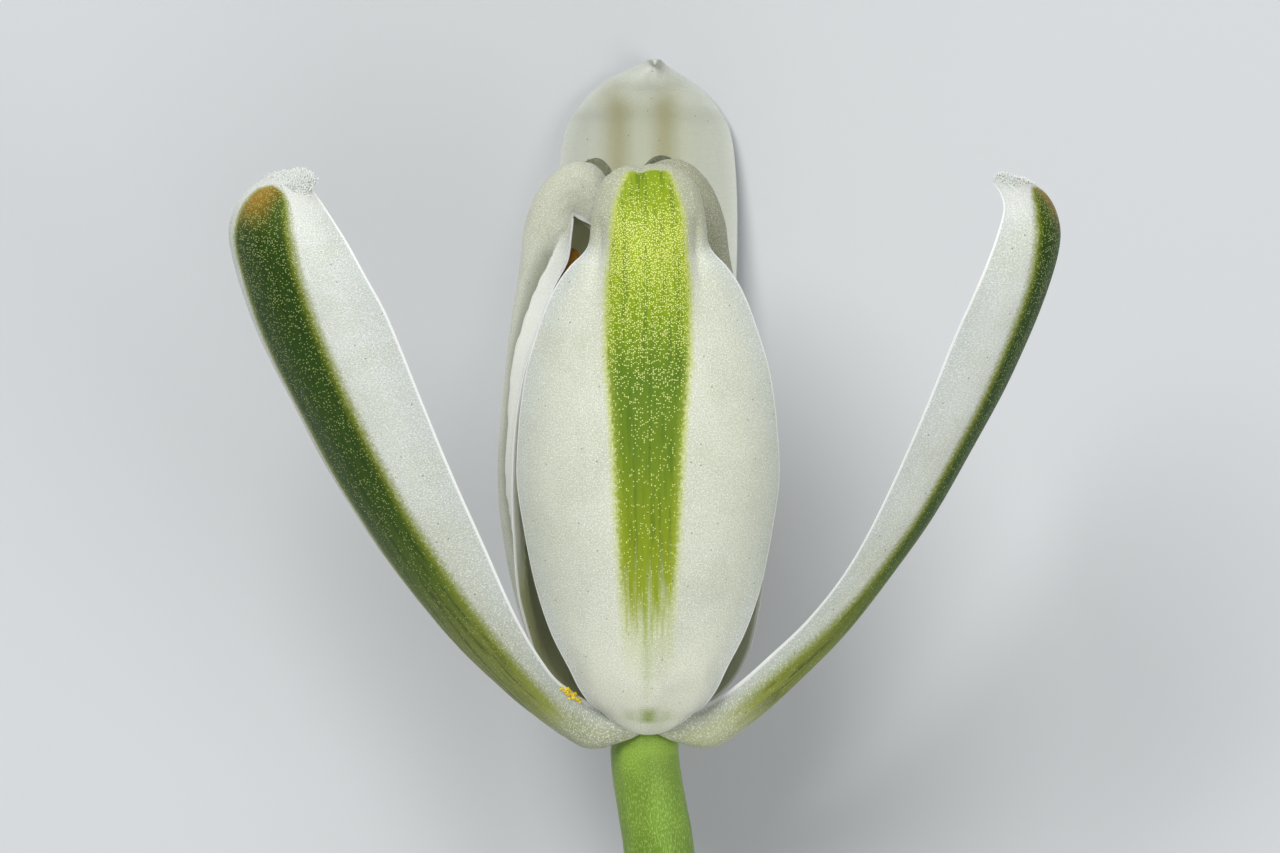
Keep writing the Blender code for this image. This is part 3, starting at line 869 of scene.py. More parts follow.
@dataclass(frozen=True)
class Powder:
    """A dry, grainy surface such as pollen, or the papillae of a tepal's tip."""

    name: str
    colour: str
    other: str
    grain: float = 0.06  # millimetres
    roughness: float = 0.75

    def material(self) -> bpy.types.Material:
        """Builds the finish.

        Returns:
            The material.
        """
        look = Shader(
            self.name, IOR=1.45, Roughness=self.roughness, Subsurface_Weight=0.1, Subsurface_Scale=0.0001
        )
        place = look.add("TexCoord", {}, "Object")
        grain = look.add("TexNoise", {"Vector": place, "Scale": 1.0 / (self.grain * MM), "Detail": 2.0})
        mixed = look.add("MapRange", {0: grain, 1: 0.35, 2: 0.65})
        colour = look.add("Mix", {0: mixed, 6: linear(self.colour), 7: linear(self.other)}, 2, **RGBA)
        bumped = look.add("Bump", {"Strength": 0.6, "Distance": RELIEF, "Height": grain})
        look.feed(Base_Color=colour, Normal=bumped)
        return look.material


# Sub-assemblies


@dataclass
class Blade:
    """A tepal or filament whose back follows a row of stations."""

    name: str
    azimuth: float
    stations: tuple
    twist: float = 0.0  # degrees, reached by the middle of the blade
    curving: float = 1.0  # factor on the curvature across
    lengthening: float = 1.0  # factor on the height
    leaning: float = 0.0  # towards the axis, gained along the blade
    leaning_from: float = 0.0  # share along at which the leaning begins
    roll: float = 0.0  # of the margins, outwards
    roll_from: float = 0.75  # share of the half width past which a margin rolls
    roll_to: float = 0.66  # share along above which no margin rolls
    thinning: float = 0.85  # share of the thickness that the margins lack
    floor: float = -math.inf  # height below which the blade is pressed flat
    uneven: float = 0.05  # slow unevenness of the surface
    uneven_size: float = 3.2  # width of its bumps
    veins: float = 0.012  # height of the lengthwise veins
    vein_gap: float = 0.42  # from one vein to the next
    section: tuple = ()  # share along, half width and curvature, where they aren't the stations'
    # Share along, and where one margin lies: to the right, upwards in the view, to the front.
    rim: tuple = ()
    rim_side: float = 1.0  # which margin that is
    far_rim: tuple = ()  # the same for the other margin
    extra: int = 0  # stations before the place where its solid starts
    sides: int = 96
    rings: int = 250

    @property
    def start(self) -> float:
        """The share along at which the blade starts."""
        return -self.extra / (len(self.stations) - 1 - self.extra)

    def rib(self, share: Array) -> tuple[Array, Array, Array, Array]:
        """Follows the blade's middle.

        Args:
            share: places along it.

        Returns:
            The back of the midrib, the half width, the curvature and the thickness.
        """
        reach, height, half, curve, thick = along(self.stations, share, self.extra).T
        reach = reach - self.leaning * smooth_step(2.0 * (share - self.leaning_from))
        rib = around(self.azimuth, reach, height * self.lengthening)
        if self.section:
            half, curve = through(self.section, share).T
            return rib, half, curve, thick
        return rib, half, curve * self.curving, thick

    def flatness(self, share: Array) -> Array:
        """How much flatter a section's middle is than its sides."""
        return np.ones_like(share)

    def back(self, share: Array, across: Array) -> Array:
        """Gives the blade's back.

        Args:
            share: places along it.
            across: places across, from -1 to 1.

        Returns:
            One point for each place.
        """
        rib, half, curve, _ = self.rib(share)
        ahead = self.rib(np.minimum(share + 0.01, 1.0))[0] - self.rib(np.maximum(share - 0.01, self.start))[0]
        sideways = around(self.azimuth + 90.0, 1.0, 0.0)
        outwards = np.cross(unit(ahead), sideways)
        turn = (math.radians(self.twist) * smooth_step(2.0 * share))[:, None]
        normal = np.cos(turn) * outwards + np.sin(turn) * sideways
        level = np.cos(turn) * sideways - np.sin(turn) * outwards
        aside, below = arc(half, curve * half, across, self.flatness(share))
        edge = np.maximum(np.abs(across) - self.roll_from, 0.0) / (1.0 - self.roll_from)
        rolled = self.roll * edge**2 * smooth_step(5.0 * share) * smooth_step(5.0 * (self.roll_to - share))
        return rib + aside[:, None] * level - (below - rolled)[:, None] * normal

    def shaped(self, share: Array, across: Array) -> Array:
        """Gives the blade's back, with its margins brought to their own places.

        Args:
            share: places along it.
            across: places across, from -1 to 1.

        Returns:
            One point for each place.
        """
        points = self.back(share, across)
        for rim, side in ((self.rim, self.rim_side), (self.far_rim, -self.rim_side)):
            if not rim:
                continue
            right, up, front = through(rim, share).T
            goal = np.stack((right, up, (front + up * math.sin(RISE)) / math.cos(RISE)), axis=1)
            first, last = rim[0][0], rim[-1][0]
            felt = smooth_step(share, first, first + 0.05)
            if last < 1.0:
                felt = felt * smooth_step(last - share, 0.0, 0.07)
            felt = felt * np.clip(across * side, 0.0, 1.0) ** 2
            points = points + felt[:, None] * (goal - self.back(share, np.full_like(share, side)))
        return points

    def relief(self, share: Array, across: Array, wide: Array, points: Array) -> Array:
        """Gives how far the surface stands out from the plain blade.

        Args:
            share: places along it.
            across: places across, from -1 to 1.
            wide: the same in millimetres.
            points: the places themselves.

        Returns:
            Millimetres, one value for each place.
        """
        veins = self.veins * np.cos(wide * 2.0 * math.pi / self.vein_gap) * smooth_step(share, 0.0, 0.2)
        slow = self.uneven * ripple(points, self.uneven_size, self.azimuth)
        return slow + veins * smooth_step(1.0 - np.abs(across), 0.0, 0.25)

    def place(self, part: Array, angle: Array) -> Skin:
        """Gives the closed blade's surface.

        Args:
            part: places along it, from 0 to 1.
            angle: angles round its section.

        Returns:
            The points, and what the finish reads there.
        """
        share = self.start + (1.0 - self.start) * part
        turned, lifted = np.cos(angle), np.sin(angle)
        # The two powers make the section flatter than an ellipse, with blunter margins.
        across = np.copysign(np.abs(turned) ** 0.9, turned)
        depth = 0.5 - 0.5 * np.copysign(np.abs(lifted) ** 0.6, lifted)
        step = 0.012
        edge = np.clip(across, -1.0 + step, 1.0 - step)
        middle = np.clip(share, self.start + step, 1.0 - step)
        over = self.shaped(middle, edge + step) - self.shaped(middle, edge - step)
        up = self.shaped(middle + step, edge) - self.shaped(middle - step, edge)
        inwards = unit(np.cross(over, up))
        points = self.shaped(share, across)
        _, half, _, thick = self.rib(share)
        wide = across * half
        raised = self.relief(share, across, wide, points)
        thick = thick * (1.0 - self.thinning * np.abs(across) ** 3)
        points = points + (depth * thick - raised)[:, None] * inwards
        points[:, 2] = np.maximum(points[:, 2], self.floor)
        rows = np.linspace(self.start, 1.0, 201)
        ribs = self.rib(rows)[0]
        lengths = np.concatenate(([0.0], np.cumsum(np.linalg.norm(np.diff(ribs, axis=0), axis=1))))
        long = np.interp(share, rows, lengths)
        skin = np.stack((wide, long, half - np.abs(wide)), axis=1)
        return Skin(points, np.stack((across, share, depth), axis=1), skin)

    def build(self, material: bpy.types.Material, slot: Slot) -> bpy.types.Object:
        """Builds the blade as a piece that replaces its solid.

        Args:
            material: its finish.
            slot: the record's slot; not used.

        Returns:
            The piece.
        """
        mesh = sweep(self.name + "_fine", self.sides, self.rings, self.place)
        piece = finish_piece(self.name + "_fine", mesh, material)
        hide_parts(self.name)
        return piece


@dataclass
class InnerTepal(Blade):
    """An upright tepal: a broad blade, a thick keel, and a hood that folds inwards over the stamens.

    The hood is a pouch. Towards it the margins turn in, so that its sides are walls.
    """

    stations: tuple = INNER_STATIONS
    extra: int = 2
    hood_from: float = 0.59  # share along at which the margins begin to turn in
    hood_full: float = 0.655  # share along from which the hood has its own section
    hood_half: tuple = ((0.57, 3.1), (0.62, 2.95), (0.655, 2.85), (0.685, 2.7), (0.727, 2.35), (0.773, 2.1),
                        (0.82, 1.9), (0.864, 1.85), (0.91, 1.85), (0.955, 1.5), (1.0, 0.9))
    hood_curve: float = 0.60
    hood_flatness: float = 1.9
    keel: float = 0.0  # how far the middle stands out below the hood
    keel_half: float = 1.55  # its half width
    crease: float = 0.0  # depth of the folds beside it
    crease_at: float = 1.85  # how far to the side they lie
    crease_width: float = 0.28
    fold: float = 0.0  # depth of the fold along the margin that faces the camera
    fold_fade: float = 0.8  # distance beyond the fold over which its hollow fades
    notch: float = 0.0  # depth of the dip in the hood's top
    notch_at: float = 0.30  # how far to the side it lies
    notch_width: float = 0.22
    papillae: float = 0.035  # height of the hood's tiny bumps
    papilla_size: float = 0.16

    def rib(self, share: Array) -> tuple[Array, Array, Array, Array]:
        """Follows the blade's middle, with the hood's own section at its end.

        Args:
            share: places along it.

        Returns:
            The back of the midrib, the half width, the curvature and the thickness.
        """
        rib, half, curve, thick = super().rib(share)
        if self.section:
            return rib, half, curve, thick
        hood = smooth_step(share, self.hood_from, self.hood_full)
        rows = np.array(self.hood_half).T
        half = half + hood * (np.interp(share, rows[0], rows[1]) - half)
        return rib, half, curve + hood * (self.hood_curve - curve), thick

    def flatness(self, share: Array) -> Array:
        """How much flatter a section's middle is than its sides."""
        return 1.0 + (self.hood_flatness - 1.0) * smooth_step(share, self.hood_from, self.hood_full)

    def relief(self, share: Array, across: Array, wide: Array, points: Array) -> Array:
        """Adds the keel, the folds beside it and the hood's skin to the plain relief.

        Args:
            share: places along it.
            across: places across, from -1 to 1.
            wide: the same in millimetres.
            points: the places themselves.

        Returns:
            Millimetres, one value for each place.
        """
        plain = super().relief(share, across, wide, points)
        level = smooth_step(share, 0.42, 0.60) * (1.0 - smooth_step(share, 0.66, 0.72))
        keeled = self.keel * np.exp(-((np.abs(wide) / self.keel_half) ** 4)) * level
        folds = self.crease * hump(np.abs(wide), self.crease_at, self.crease_width)
        folds = folds * smooth_step(share, 0.48, 0.62) * (1.0 - smooth_step(share, 0.65, 0.69))
        dip = self.notch * hump(wide, self.notch_at, self.notch_width) * hump(share, 0.78, 0.05)
        from_margin = np.abs(wide) * (1.0 / np.maximum(np.abs(across), 1e-3) - 1.0)
        beyond = from_margin - through(FOLD_LINE, share)[:, 0]
        fading = np.exp(-np.maximum(beyond, 0.0) / self.fold_fade)
        folded = self.fold * smooth_step(beyond, -0.05, 0.06) * fading * (across * self.rim_side > 0.0)
        folded = folded * smooth_step(share, 0.22, 0.32) * (1.0 - smooth_step(share, 0.62, 0.66))
        bumps = self.papillae * np.maximum(ripple(points, self.papilla_size, 5.0), 0.0)
        return plain + keeled - folds - dip - folded + bumps * smooth_step(share, 0.66, 0.74)


@dataclass
class OuterTepal(Blade):
    """A spreading tepal, whose base is a third of the cup that clasps the stalk."""

    stations: tuple = OUTER_STATIONS
    extra: int = 2
    # The cup's margins, station by station: degrees from the midrib, reach and height.
    cup: tuple = ((64.0, 0.90, 0.36), (64.0, 1.12, 0.30), (60.0, 1.20, 0.40), (48.0, 1.38, 0.80),
                  (36.0, 1.85, 1.35), (26.0, 2.65, 1.85), (21.0, 3.80, 2.15))
    cup_to: float = 0.25  # share along at which the cup has become the free blade
    tip_thinning: float = 0.7  # share of the thickness that the tip lacks
    beak: tuple = (0.0, 0.0, 0.0)  # how far the tip's end is drawn out to the right, up and to the back
    sides: int = 88
    rings: int = 240

    def rib(self, share: Array) -> tuple[Array, Array, Array, Array]:
        """Follows the blade's middle, out to the beak.

        Args:
            share: places along it.

        Returns:
            The back of the midrib, the half width, the curvature and the thickness.
        """
        rib, half, curve, thick = super().rib(share)
        right, up, back = self.beak
        rib = rib + np.multiply.outer(smooth_step(share, 0.86, 0.96), right * SIDE + up * AXIS)
        rib = rib - np.multiply.outer(back * smooth_step(share, 0.86, 1.0), FRONT)
        return rib, half, curve, thick * (1.0 - self.tip_thinning * smooth_step(share, 0.76, 0.98))

    def back(self, share: Array, across: Array) -> Array:
        """Gives the blade's back, whose base is bent round the stalk.

        Args:
            share: places along it.
            across: places across, from -1 to 1.

        Returns:
            One point for each place.
        """
        free = super().back(share, across)
        reach, height, *_ = along(self.stations, share, self.extra).T
        rows = np.array(self.cup).T
        spots = (np.arange(rows.shape[1]) - self.extra) / (len(self.stations) - 1 - self.extra)
        off, far, high = (np.interp(share, spots, row) for row in rows)
        bent = across**2
        reach = reach + bent * (far - reach)
        height = height * self.lengthening + bent * (high - height * self.lengthening)
        clasping = around(self.azimuth + off * across, reach, height)
        return clasping + smooth_step(share, 0.02, self.cup_to)[:, None] * (free - clasping)


@dataclass
class Perianth:
    """The six tepals, in two rings of three."""

    outer: tuple = (
        OuterTepal("outer_tepal_left", 151.0, twist=-19.0, lengthening=1.01, rim=OUTER_LEFT_RIM, rim_side=-1.0,
                   thinning=0.92),
        OuterTepal("outer_tepal_right", 23.0, twist=-12.0, rim=OUTER_RIGHT_RIM, thinning=0.92),
        OuterTepal("outer_tepal_back", 270.0, section=BACK_SECTION, lengthening=1.01, floor=-BASE.z,
                   beak=(0.25, 0.18, 0.55)),
    )
    inner: tuple = (
        InnerTepal("inner_tepal_front", 90.0, lengthening=1.025, curving=0.97, roll=0.15,
                   keel=0.34, crease=0.16, notch=0.14, rings=270),
        InnerTepal("inner_tepal_left", 190.0, roll=0.30, hood_flatness=1.0, section=LEFT_SECTION, rim=LEFT_RIM,
                   rim_side=-1.0, far_rim=LEFT_FAR_RIM, fold=0.16),
        InnerTepal("inner_tepal_right", 312.0, leaning=1.1, leaning_from=0.08, hood_flatness=1.0,
                   section=RIGHT_SECTION, rim=RIGHT_RIM),
    )

    def build(self) -> dict[str, bpy.types.Object]:
        """Builds the tepals.

        Returns:
            The pieces by their solids' names.
        """
        inner = (
            TepalFlesh("front_tepal_flesh", INNER_STRIPE),
            # The left tepal's inner face is painted shade low down and painted light near its hood; the right
            # one's inner face is painted light.
            TepalFlesh("left_tepal_flesh", INNER_STRIPE, stripe_at=1.9, hood="#C3C5AE", inside_margin="#A2A57E",
                       inside=((0.44, "#9DA078"), (0.54, "#F2F3DE")), painted_fold=FOLD_LINE),
            TepalFlesh("right_tepal_flesh", INNER_STRIPE, stripe_at=-0.7, hood="#8B8B62", hood_from=0.50,
                       inside=((0.0, "#E6E8CC"),)),
        )
        plain = {"white": "#DDE1DA", "base_tone_to": 0.60, "hood": "#DDE0DA", "hood_from": 0.8, "glow": 0.2}
        outer = (
            TepalFlesh("outer_left_flesh", OUTER_STRIPE, gloss=0.25, base_tone_and_light="#8C9166", **plain),
            TepalFlesh("outer_right_flesh", OUTER_STRIPE, gloss=0.15, base_tone_and_light="#B0B588", stripe_at=0.2,
                       burnt_side=-1.0, **plain),
            # The back tepal's inner face is painted shade, lightened near the tip as painted light; its rim has
            # a weaker painted highlight.
            TepalFlesh("outer_back_flesh", BACK_STRIPE, base_tone_and_light="#AAAF82", rim="#C2C6BE", bands=(-1.35, 0.75),
                       inside=((0.78, "#B3B6A0"), (0.92, "#D6D9D0")), rim_light_width=(0.0, 0.38, 0.6), **plain),
        )
        made = {}
        for blades, fleshes, slot in ((self.inner, inner, Slot.INNER), (self.outer, outer, Slot.OUTER)):
            for blade, flesh in zip(blades, fleshes):
                made[blade.name] = blade.build(flesh.material(), slot)
        return made


@dataclass
class TipCrests:
    """The ragged white crest on the tip of each outer tepal: papillae, each a tiny blunt cone."""

    count: int = 480
    length: float = 0.17
    radius: float = 0.022
    reach: float = 0.07  # share of the tepal's length on which they stand
    spread: float = 0.7  # radians round its section, to each side of the back
    stray: float = 0.35  # how unevenly they point
    seed: int = 7

    def build(self, tepals: tuple) -> None:
        """Builds a crest on each tepal.

        Args:
            tepals: the blades that carry one.
        """
        look = Powder("tip_papillae", "#F2F4F0", "#DCE0DA", 0.05, 0.5).material()
        for tepal in tepals:
            finish_piece(tepal.name + "_crest", self._crest(tepal), look)

    def _crest(self, tepal: Blade) -> bpy.types.Mesh:
        """Makes the crest of one tepal.

        Args:
            tepal: the blade that carries it.

        Returns:
            The mesh, in metres.
        """
        dice = random.Random(self.seed + len(tepal.name))
        shape = bmesh.new()
        for _ in range(self.count):
            share = np.array([1.0 - self.reach * dice.random()])
            angle = np.array([math.pi / 2 + max(-self.spread, min(self.spread, dice.gauss(0, 0.40)))])
            spot = tepal.place(share, angle).points[0]
            inner = tepal.rib(share)[0][0]
            away = Vector(spot - inner) + Vector(AXIS) * 0.5
            away = away.normalized() + Vector([dice.gauss(0, self.stray) for _ in range(3)])
            length = self.length * dice.uniform(0.4, 1.15)
            turn = Vector((0, 0, 1)).rotation_difference(away.normalized()).to_matrix().to_4x4()
            middle = Vector(spot) + BASE + away.normalized() * length * 0.35
            bmesh.ops.create_cone(
                shape, cap_ends=True, segments=5, radius1=self.radius, radius2=self.radius * 0.35, depth=length,
                matrix=Matrix.Translation(middle) @ turn,
            )
        bmesh.ops.scale(shape, vec=(MM, MM, MM), verts=shape.verts)
        mesh = bpy.data.meshes.new(tepal.name + "_crest")
        shape.to_mesh(mesh)
        shape.free()
        return mesh


@dataclass
class HoodLip:
    """The far lip of a hood, which stands up behind its near edge as a crescent, dark with painted shade."""

    name: str
    start: tuple  # millimetres, left end of its lower edge
    end: tuple  # right end
    rise: float  # how far its upper edge arcs above the lower one
    lean: float  # where along it the arc is highest
    lower_rise: float = 0.55  # how far the lower edge arcs, as a share of the rise
    fullness: float = 0.8  # power of the arc, which is fuller the smaller it is
    tilt: float = 0.15  # how far its upper edge leans back
    sink: float = 0.25  # how far its lower edge reaches down behind the hood
    thickness: float = 0.12

    def build(self, material: bpy.types.Material) -> bpy.types.Object:
        """Builds the lip as a thin curved sheet.

        Args:
            material: its finish.

        Returns:
            The piece.
        """
        shape = bmesh.new()
        bmesh.ops.create_grid(shape, x_segments=28, y_segments=6, size=1.0)
        start, end = Vector(self.start), Vector(self.end)
        for vert in shape.verts:
            u, v = (vert.co.x + 1.0) / 2.0, (vert.co.y + 1.0) / 2.0
            bow = math.sin(math.pi * u**self.lean) ** self.fullness
            base = start.lerp(end, u) + Vector(AXIS) * self.rise * self.lower_rise * bow
            top = base + Vector(AXIS) * self.rise * bow - Vector(FRONT) * self.tilt * bow
            low = base - Vector(AXIS) * self.sink
            vert.co = (low.lerp(top, v) + BASE) * MM
        bmesh.ops.solidify(shape, geom=shape.faces[:], thickness=self.thickness * MM)
        bmesh.ops.recalc_face_normals(shape, faces=shape.faces)
        mesh = bpy.data.meshes.new(self.name)
        shape.to_mesh(mesh)
        shape.free()
        return finish_piece(self.name, mesh, material)


@dataclass
class Stalk:
    """The round green stalk, clasped by the tepals at its top and cut clean at its foot."""

    sides: int = 64
    rings: int = 330
    ribs: float = 0.012  # height of its lengthwise ribs
    rib_count: float = 22.0
    uneven: float = 0.02  # height of its slow unevenness, whose bumps are 2 mm wide
    dish: float = 0.10  # how far the cut end dries in
    cut: float = 0.965  # share of the rings past which they close the cut end
    length: float = 36.0  # along its skin

    def place(self, share: Array, angle: Array) -> Skin:
        """Gives the stalk's surface.

        Args:
            share: places along it, and then over its cut end.
            angle: angles round its section.

        Returns:
            The points, and what the finish reads there.
        """
        body = np.minimum(share / self.cut, 1.0)
        middle = along(STALK_STATIONS, body)
        ahead = unit(
            along(STALK_STATIONS, np.minimum(body + 0.01, 1.0))[:, :3]
            - along(STALK_STATIONS, np.maximum(body - 0.01, 0.0))[:, :3]
        )
        sideways = unit(np.cross(ahead, FRONT))
        upwards = np.cross(sideways, ahead)
        closing = np.clip((share - self.cut) / (1.0 - self.cut), 0.0, 1.0)
        radius = middle[:, 3] * (1.0 - closing)
        skin = self.ribs * np.cos(self.rib_count * angle) + self.uneven * ripple(middle[:, :3], 2.0, 3.0)
        radius = radius + skin * (1.0 - closing)
        inside = self.dish * smooth_step(closing, 0.05, 0.5)
        points = (
            middle[:, :3]
            + (radius * np.cos(angle))[:, None] * sideways
            + (radius * np.sin(angle))[:, None] * upwards
            - inside[:, None] * ahead
        )
        turned = np.abs(angle) * middle[:, 3]
        flat = np.stack((turned, body * self.length, closing), axis=1)
        return Skin(points, np.stack((closing, share, closing), axis=1), flat)

    def build(self) -> bpy.types.Object:
        """Builds the stalk, which replaces its solid.

        Returns:
            The piece.
        """
        # At its top, under the tepals' bases, the darkest green is painted shadow over a dark green ring.
        look = PlantSkin(
            "stalk_skin",
            ((0.0, "#2A4A0C"), (0.035, "#325412"), (0.052, "#668A28"), (0.075, "#84A63A"), (0.60, "#668826"),
             (0.955, "#5D7F24"), (0.966, "#A3B67E"), (1.0, "#BCC898")),
            "#B6CC70", speck_size=0.05, stretch=0.16, amount=0.65,
        ).material()
        mesh = sweep("stalk_fine", self.sides, self.rings, self.place)
        piece = finish_piece("stalk_fine", mesh, look)
        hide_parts("stalk")
        return piece


@dataclass
class Pistil:
    """Ovary, style and stigma, which are one piece with three lobes."""

    lobes: float = 0.09  # how far they stand out, as a share of the radius
    furrow: float = 0.05  # depth of the furrows between them, as a share of the radius
    papillae: float = 0.05  # height of the stigma's bumps
    papilla_size: float = 0.12
    sides: int = 72
    rings: int = 110

    def place(self, share: Array, angle: Array) -> Skin:
        """Gives the pistil's surface.

        Args:
            share: places along it.
            angle: angles round its section.

        Returns:
            The points, and what the finish reads there.
        """
        height, radius = along(PISTIL_STATIONS, share).T
        turn = angle - math.pi / 2
        lobed = radius * (1.0 + self.lobes * np.cos(3.0 * turn))
        lobed = lobed - self.furrow * radius * np.exp(-((np.cos(1.5 * turn) / 0.16) ** 2))
        bumps = ripple(np.stack((height, angle, radius), axis=1), self.papilla_size, 2.0)
        reach = (lobed + self.papillae * smooth_step(height, 15.0, 15.6) * bumps)[:, None]
        radial = np.cos(angle)[:, None] * SIDE + np.sin(angle)[:, None] * FRONT
        points = reach * radial + height[:, None] * AXIS
        turned = np.abs(angle) * 1.5
        flat = np.stack((turned, height, height), axis=1)
        return Skin(points, np.stack((turned, share, share), axis=1), flat)

    def build(self) -> bpy.types.Object:
        """Builds the pistil, which replaces its solid.

        Returns:
            The piece.
        """
        look = PlantSkin(
            "pistil_flesh",
            ((0.0, "#B7C67E"), (0.35, "#9DB85C"), (0.55, "#C4D29A"), (0.85, "#D7DDB4"), (1.0, "#E6E3B8")),
            "#D3DFA8", roughness=0.38, speck_size=0.16, amount=0.4,
        ).material()
        mesh = sweep("pistil_fine", self.sides, self.rings, self.place)
        piece = finish_piece("pistil_fine", mesh, look)
        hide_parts("pistil")
        return piece


@dataclass
class Stamens:
    """Six filaments, of which the three before the inner tepals carry an anther."""

    inner: dict = field(default_factory=lambda: {"front": 90.0, "left": 190.0, "right": 312.0})
    outer: dict = field(default_factory=lambda: {"left": 140.0, "right": 21.0, "back": 251.0})
    leaning: dict = field(default_factory=lambda: {"right": 0.9})  # of the inner ones, towards the axis
    anther_from: float = 14.85  # height of its lower end
    anther_to: float = 17.30  # height of its upper end
    anther_reach: float = 2.75
    half_width: float = 0.52
    half_depth: float = 0.36
    groove: float = 0.4  # share of the depth that the groove between the lobes takes
    grains: float = 0.03  # height of the pollen on its skin
    grain_size: float = 0.12
    anther_sides: int = 44  # and as many rings

    def build(self) -> None:
        """Builds the filaments and anthers, which replace their solids."""
        flesh = PlantSkin(
            "filament_flesh", ((0.0, "#D5DDB4"), (0.3, "#E4E8D4"), (1.0, "#E9EBDD")), "#F4F5EC",
            roughness=0.4, amount=0.5, subsurface=0.35,
        ).material()
        pollen = Powder("anther_pollen", "#B97A26", "#DBA63F", 0.05, 0.8).material()
        for ring, azimuths, stations, leaning in (
            ("inner", self.inner, INNER_FILAMENT_STATIONS, self.leaning),
            ("outer", self.outer, OUTER_FILAMENT_STATIONS, {}),
        ):
            for side, azimuth in azimuths.items():
                Blade(
                    f"filament_{ring}_{side}", azimuth, stations, leaning=leaning.get(side, 0.0),
                    leaning_from=0.45, thinning=0.5, uneven=0.02, veins=0.0, sides=32, rings=80,
                ).build(flesh, Slot.FILAMENT)
        for side, azimuth in self.inner.items():
            name, place = f"anther_{side}_fine", self._anther(azimuth, self.leaning.get(side, 0.0))
            mesh = sweep(name, self.anther_sides, self.anther_sides, place)
            piece = finish_piece(name, mesh, pollen)
            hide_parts(f"anther_{side}")

    def _anther(self, azimuth: float, leaning: float) -> Callable[[Array, Array], Skin]:
        """Gives one anther's surface: two lobes with a groove between, dusty with pollen.

        Args:
            azimuth: degrees round the flower's axis.
            leaning: how far it stands nearer to the axis.

        Returns:
            The function that places it.
        """
        turn = math.radians(azimuth)
        radial = math.cos(turn) * SIDE + math.sin(turn) * FRONT
        side = -math.sin(turn) * SIDE + math.cos(turn) * FRONT
        middle, half = (self.anther_from + self.anther_to) / 2, (self.anther_to - self.anther_from) / 2

        def place(share: Array, angle: Array) -> Skin:
            """The points at shares along the anther and angles round it, and what the finish reads there."""
            level = 2.0 * share - 1.0
            swell = 0.35 + 0.65 * np.sqrt(np.maximum(1.0 - level**4, 0.0))
            width = self.half_width * swell * np.cos(angle)
            grooved = 1.0 - self.groove * np.exp(-((np.cos(angle) / 0.3) ** 2))
            reach = self.anther_reach - leaning + self.half_depth * swell * np.sin(angle) * grooved
            height = middle + half * level
            points = reach[:, None] * radial + width[:, None] * side + height[:, None] * AXIS
            points = points + self.grains * ripple(points, self.grain_size, azimuth)[:, None] * radial
            flat = np.stack((width, height, share), axis=1)
            return Skin(points, flat, flat)

        return place


@dataclass
class PollenCrumbs:
    """A few yellow crumbs of pollen, fallen on the base of the left outer tepal."""

    low: tuple = (-3.02, 1.14)  # lower left corner of the strip that they lie in
    high: tuple = (-2.40, 1.66)  # upper right corner
    count: int = 46
    above: float = 30.0  # height that they are dropped from
    seed: int = 3

    def build(self, onto: bpy.types.Object) -> bpy.types.Object:
        """Builds the crumbs where a line straight down from above them meets the tepal.

        Args:
            onto: the tepal that they lie on.

        Returns:
            The piece.
        """
        tree = BVHTree.FromObject(onto, bpy.context.evaluated_depsgraph_get())
        dice = random.Random(self.seed)
        shape = bmesh.new()
        for _ in range(self.count):
            f = dice.random()
            x = self.low[0] + (self.high[0] - self.low[0]) * f + dice.gauss(0, 0.05)
            y = self.high[1] + (self.low[1] - self.high[1]) * f + dice.gauss(0, 0.07)
            top = (Vector((x, y, self.above)) + BASE) * MM
            hit = tree.ray_cast(top, Vector((0, 0, -1)))[0]
            if hit is None:
                continue
            radius = dice.uniform(0.035, 0.075)
            bmesh.ops.create_icosphere(
                shape, subdivisions=1, radius=radius,
                matrix=Matrix.Translation(hit / MM + Vector((0, 0, radius * 0.6)))
                @ Euler((dice.random(), dice.random(), 0)).to_matrix().to_4x4(),
            )
        bmesh.ops.scale(shape, vec=(MM, MM, MM), verts=shape.verts)
        mesh = bpy.data.meshes.new("pollen_crumbs")
        shape.to_mesh(mesh)
        shape.free()
        look = Powder("fallen_pollen", "#F2DA3E", "#DDB82C", 0.04, 0.8).material()
        return finish_piece("pollen_crumbs", mesh, look)


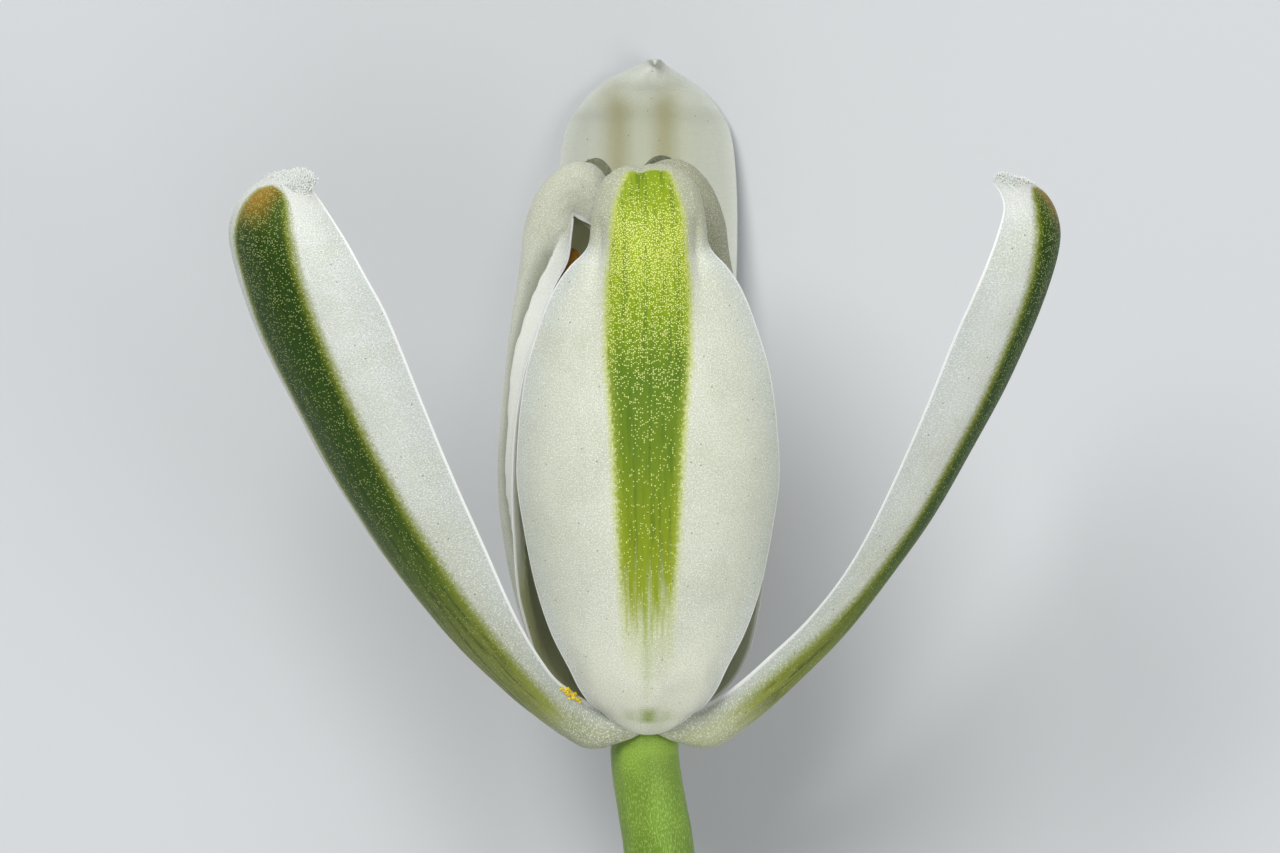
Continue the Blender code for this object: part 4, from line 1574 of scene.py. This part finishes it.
@dataclass
class Studio:
    """A plain pale table, soft light and a camera that looks straight down on the flower."""

    middle: tuple = (-0.2807, 10.825)  # millimetres, the photograph's centre in the flower's frame
    width: float = 44.91  # millimetres that the frame spans
    level: float = 5.0  # height in the flower's frame at which that holds
    lens: float = 1000.0
    sensor: float = 36.0
    # Each lamp's name, place and width in metres, and its power in watts.
    lamps: tuple = (
        ("key", (-0.16, 0.30, 0.52), 0.30, 3.05),
        ("fill", (0.36, -0.10, 0.42), 0.34, 0.9),
        ("rim", (0.05, -0.45, 0.30), 0.30, 0.4),
    )
    aim: tuple = (0.0, 0.01, 0.012)  # metres, the point that they face
    air: str = "#F1F3F6"  # colour of the light from all around
    air_strength: float = 0.35

    def build(self) -> None:
        """Builds the table, lights and camera."""
        self._table()
        for lamp in self.lamps:
            self._light(*lamp)
        world = bpy.data.worlds.new("studio_air")
        world.use_nodes = True
        world.node_tree.nodes["Background"].inputs["Color"].default_value = linear(self.air)
        world.node_tree.nodes["Background"].inputs["Strength"].default_value = self.air_strength
        bpy.context.scene.world = world
        bpy.context.scene.view_settings.view_transform = "Standard"
        self._camera()

    def _table(self) -> None:
        """A wide pale table top."""
        shape = bmesh.new()
        bmesh.ops.create_grid(shape, x_segments=1, y_segments=1, size=1.5)
        mesh = bpy.data.meshes.new("table")
        shape.to_mesh(mesh)
        shape.free()
        look = Shader("table_paint", Roughness=0.8, Base_Color=linear("#C4C6C8"))
        mesh.materials.append(look.material)
        table = bpy.data.objects.new("table", mesh)
        bpy.context.scene.collection.objects.link(table)

    def _light(self, name: str, spot: tuple, size: float, power: float) -> None:
        """Builds a soft lamp that faces the flower.

        Args:
            name: the lamp's name.
            spot: its place in metres.
            size: its width in metres.
            power: its power in watts.
        """
        data = bpy.data.lights.new(name, "AREA")
        data.shape = "DISK"
        data.size = size
        data.energy = power
        lamp = bpy.data.objects.new(name, data)
        lamp.location = spot
        lamp.rotation_euler = (Vector(self.aim) - Vector(spot)).to_track_quat("-Z", "Y").to_euler()
        bpy.context.scene.collection.objects.link(lamp)

    def _camera(self) -> None:
        """A long lens straight above, framed as the photograph is."""
        data = bpy.data.cameras.new("camera")
        data.lens = self.lens
        data.sensor_width = self.sensor
        camera = bpy.data.objects.new("camera", data)
        x, y = self.middle
        centre = (Vector((x, y, self.level)) + BASE) * MM
        camera.location = centre + Vector((0, 0, self.lens / self.sensor * self.width * MM))
        bpy.context.scene.collection.objects.link(camera)
        bpy.context.scene.camera = camera


def main() -> None:
    """Builds the flower and its studio."""
    logging.basicConfig(level=logging.INFO, format="%(name)s: %(message)s")
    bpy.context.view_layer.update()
    perianth = Perianth()
    tepals = perianth.build()
    spreading = perianth.outer[:2]  # the back tepal has no crest
    TipCrests().build(spreading)
    # The lips' dark tone is painted shade.
    lip_shade_look = Powder("hood_lip_shaded_flesh", "#5C604A", "#74775E", 0.10, 0.6).material()
    HoodLip("hood_lip_left", (-2.45, 20.0, 1.75), (-1.12, 19.5, 2.35), rise=0.33, lean=1.25).build(lip_shade_look)
    HoodLip("hood_lip_right", (-0.35, 19.5, 2.6), (0.88, 20.2, 2.2), rise=0.30, lean=0.8).build(lip_shade_look)
    Stalk().build()
    Pistil().build()
    Stamens().build()
    PollenCrumbs().build(tepals["outer_tepal_left"])
    Studio().build()


if __name__ == "__main__":
    main()
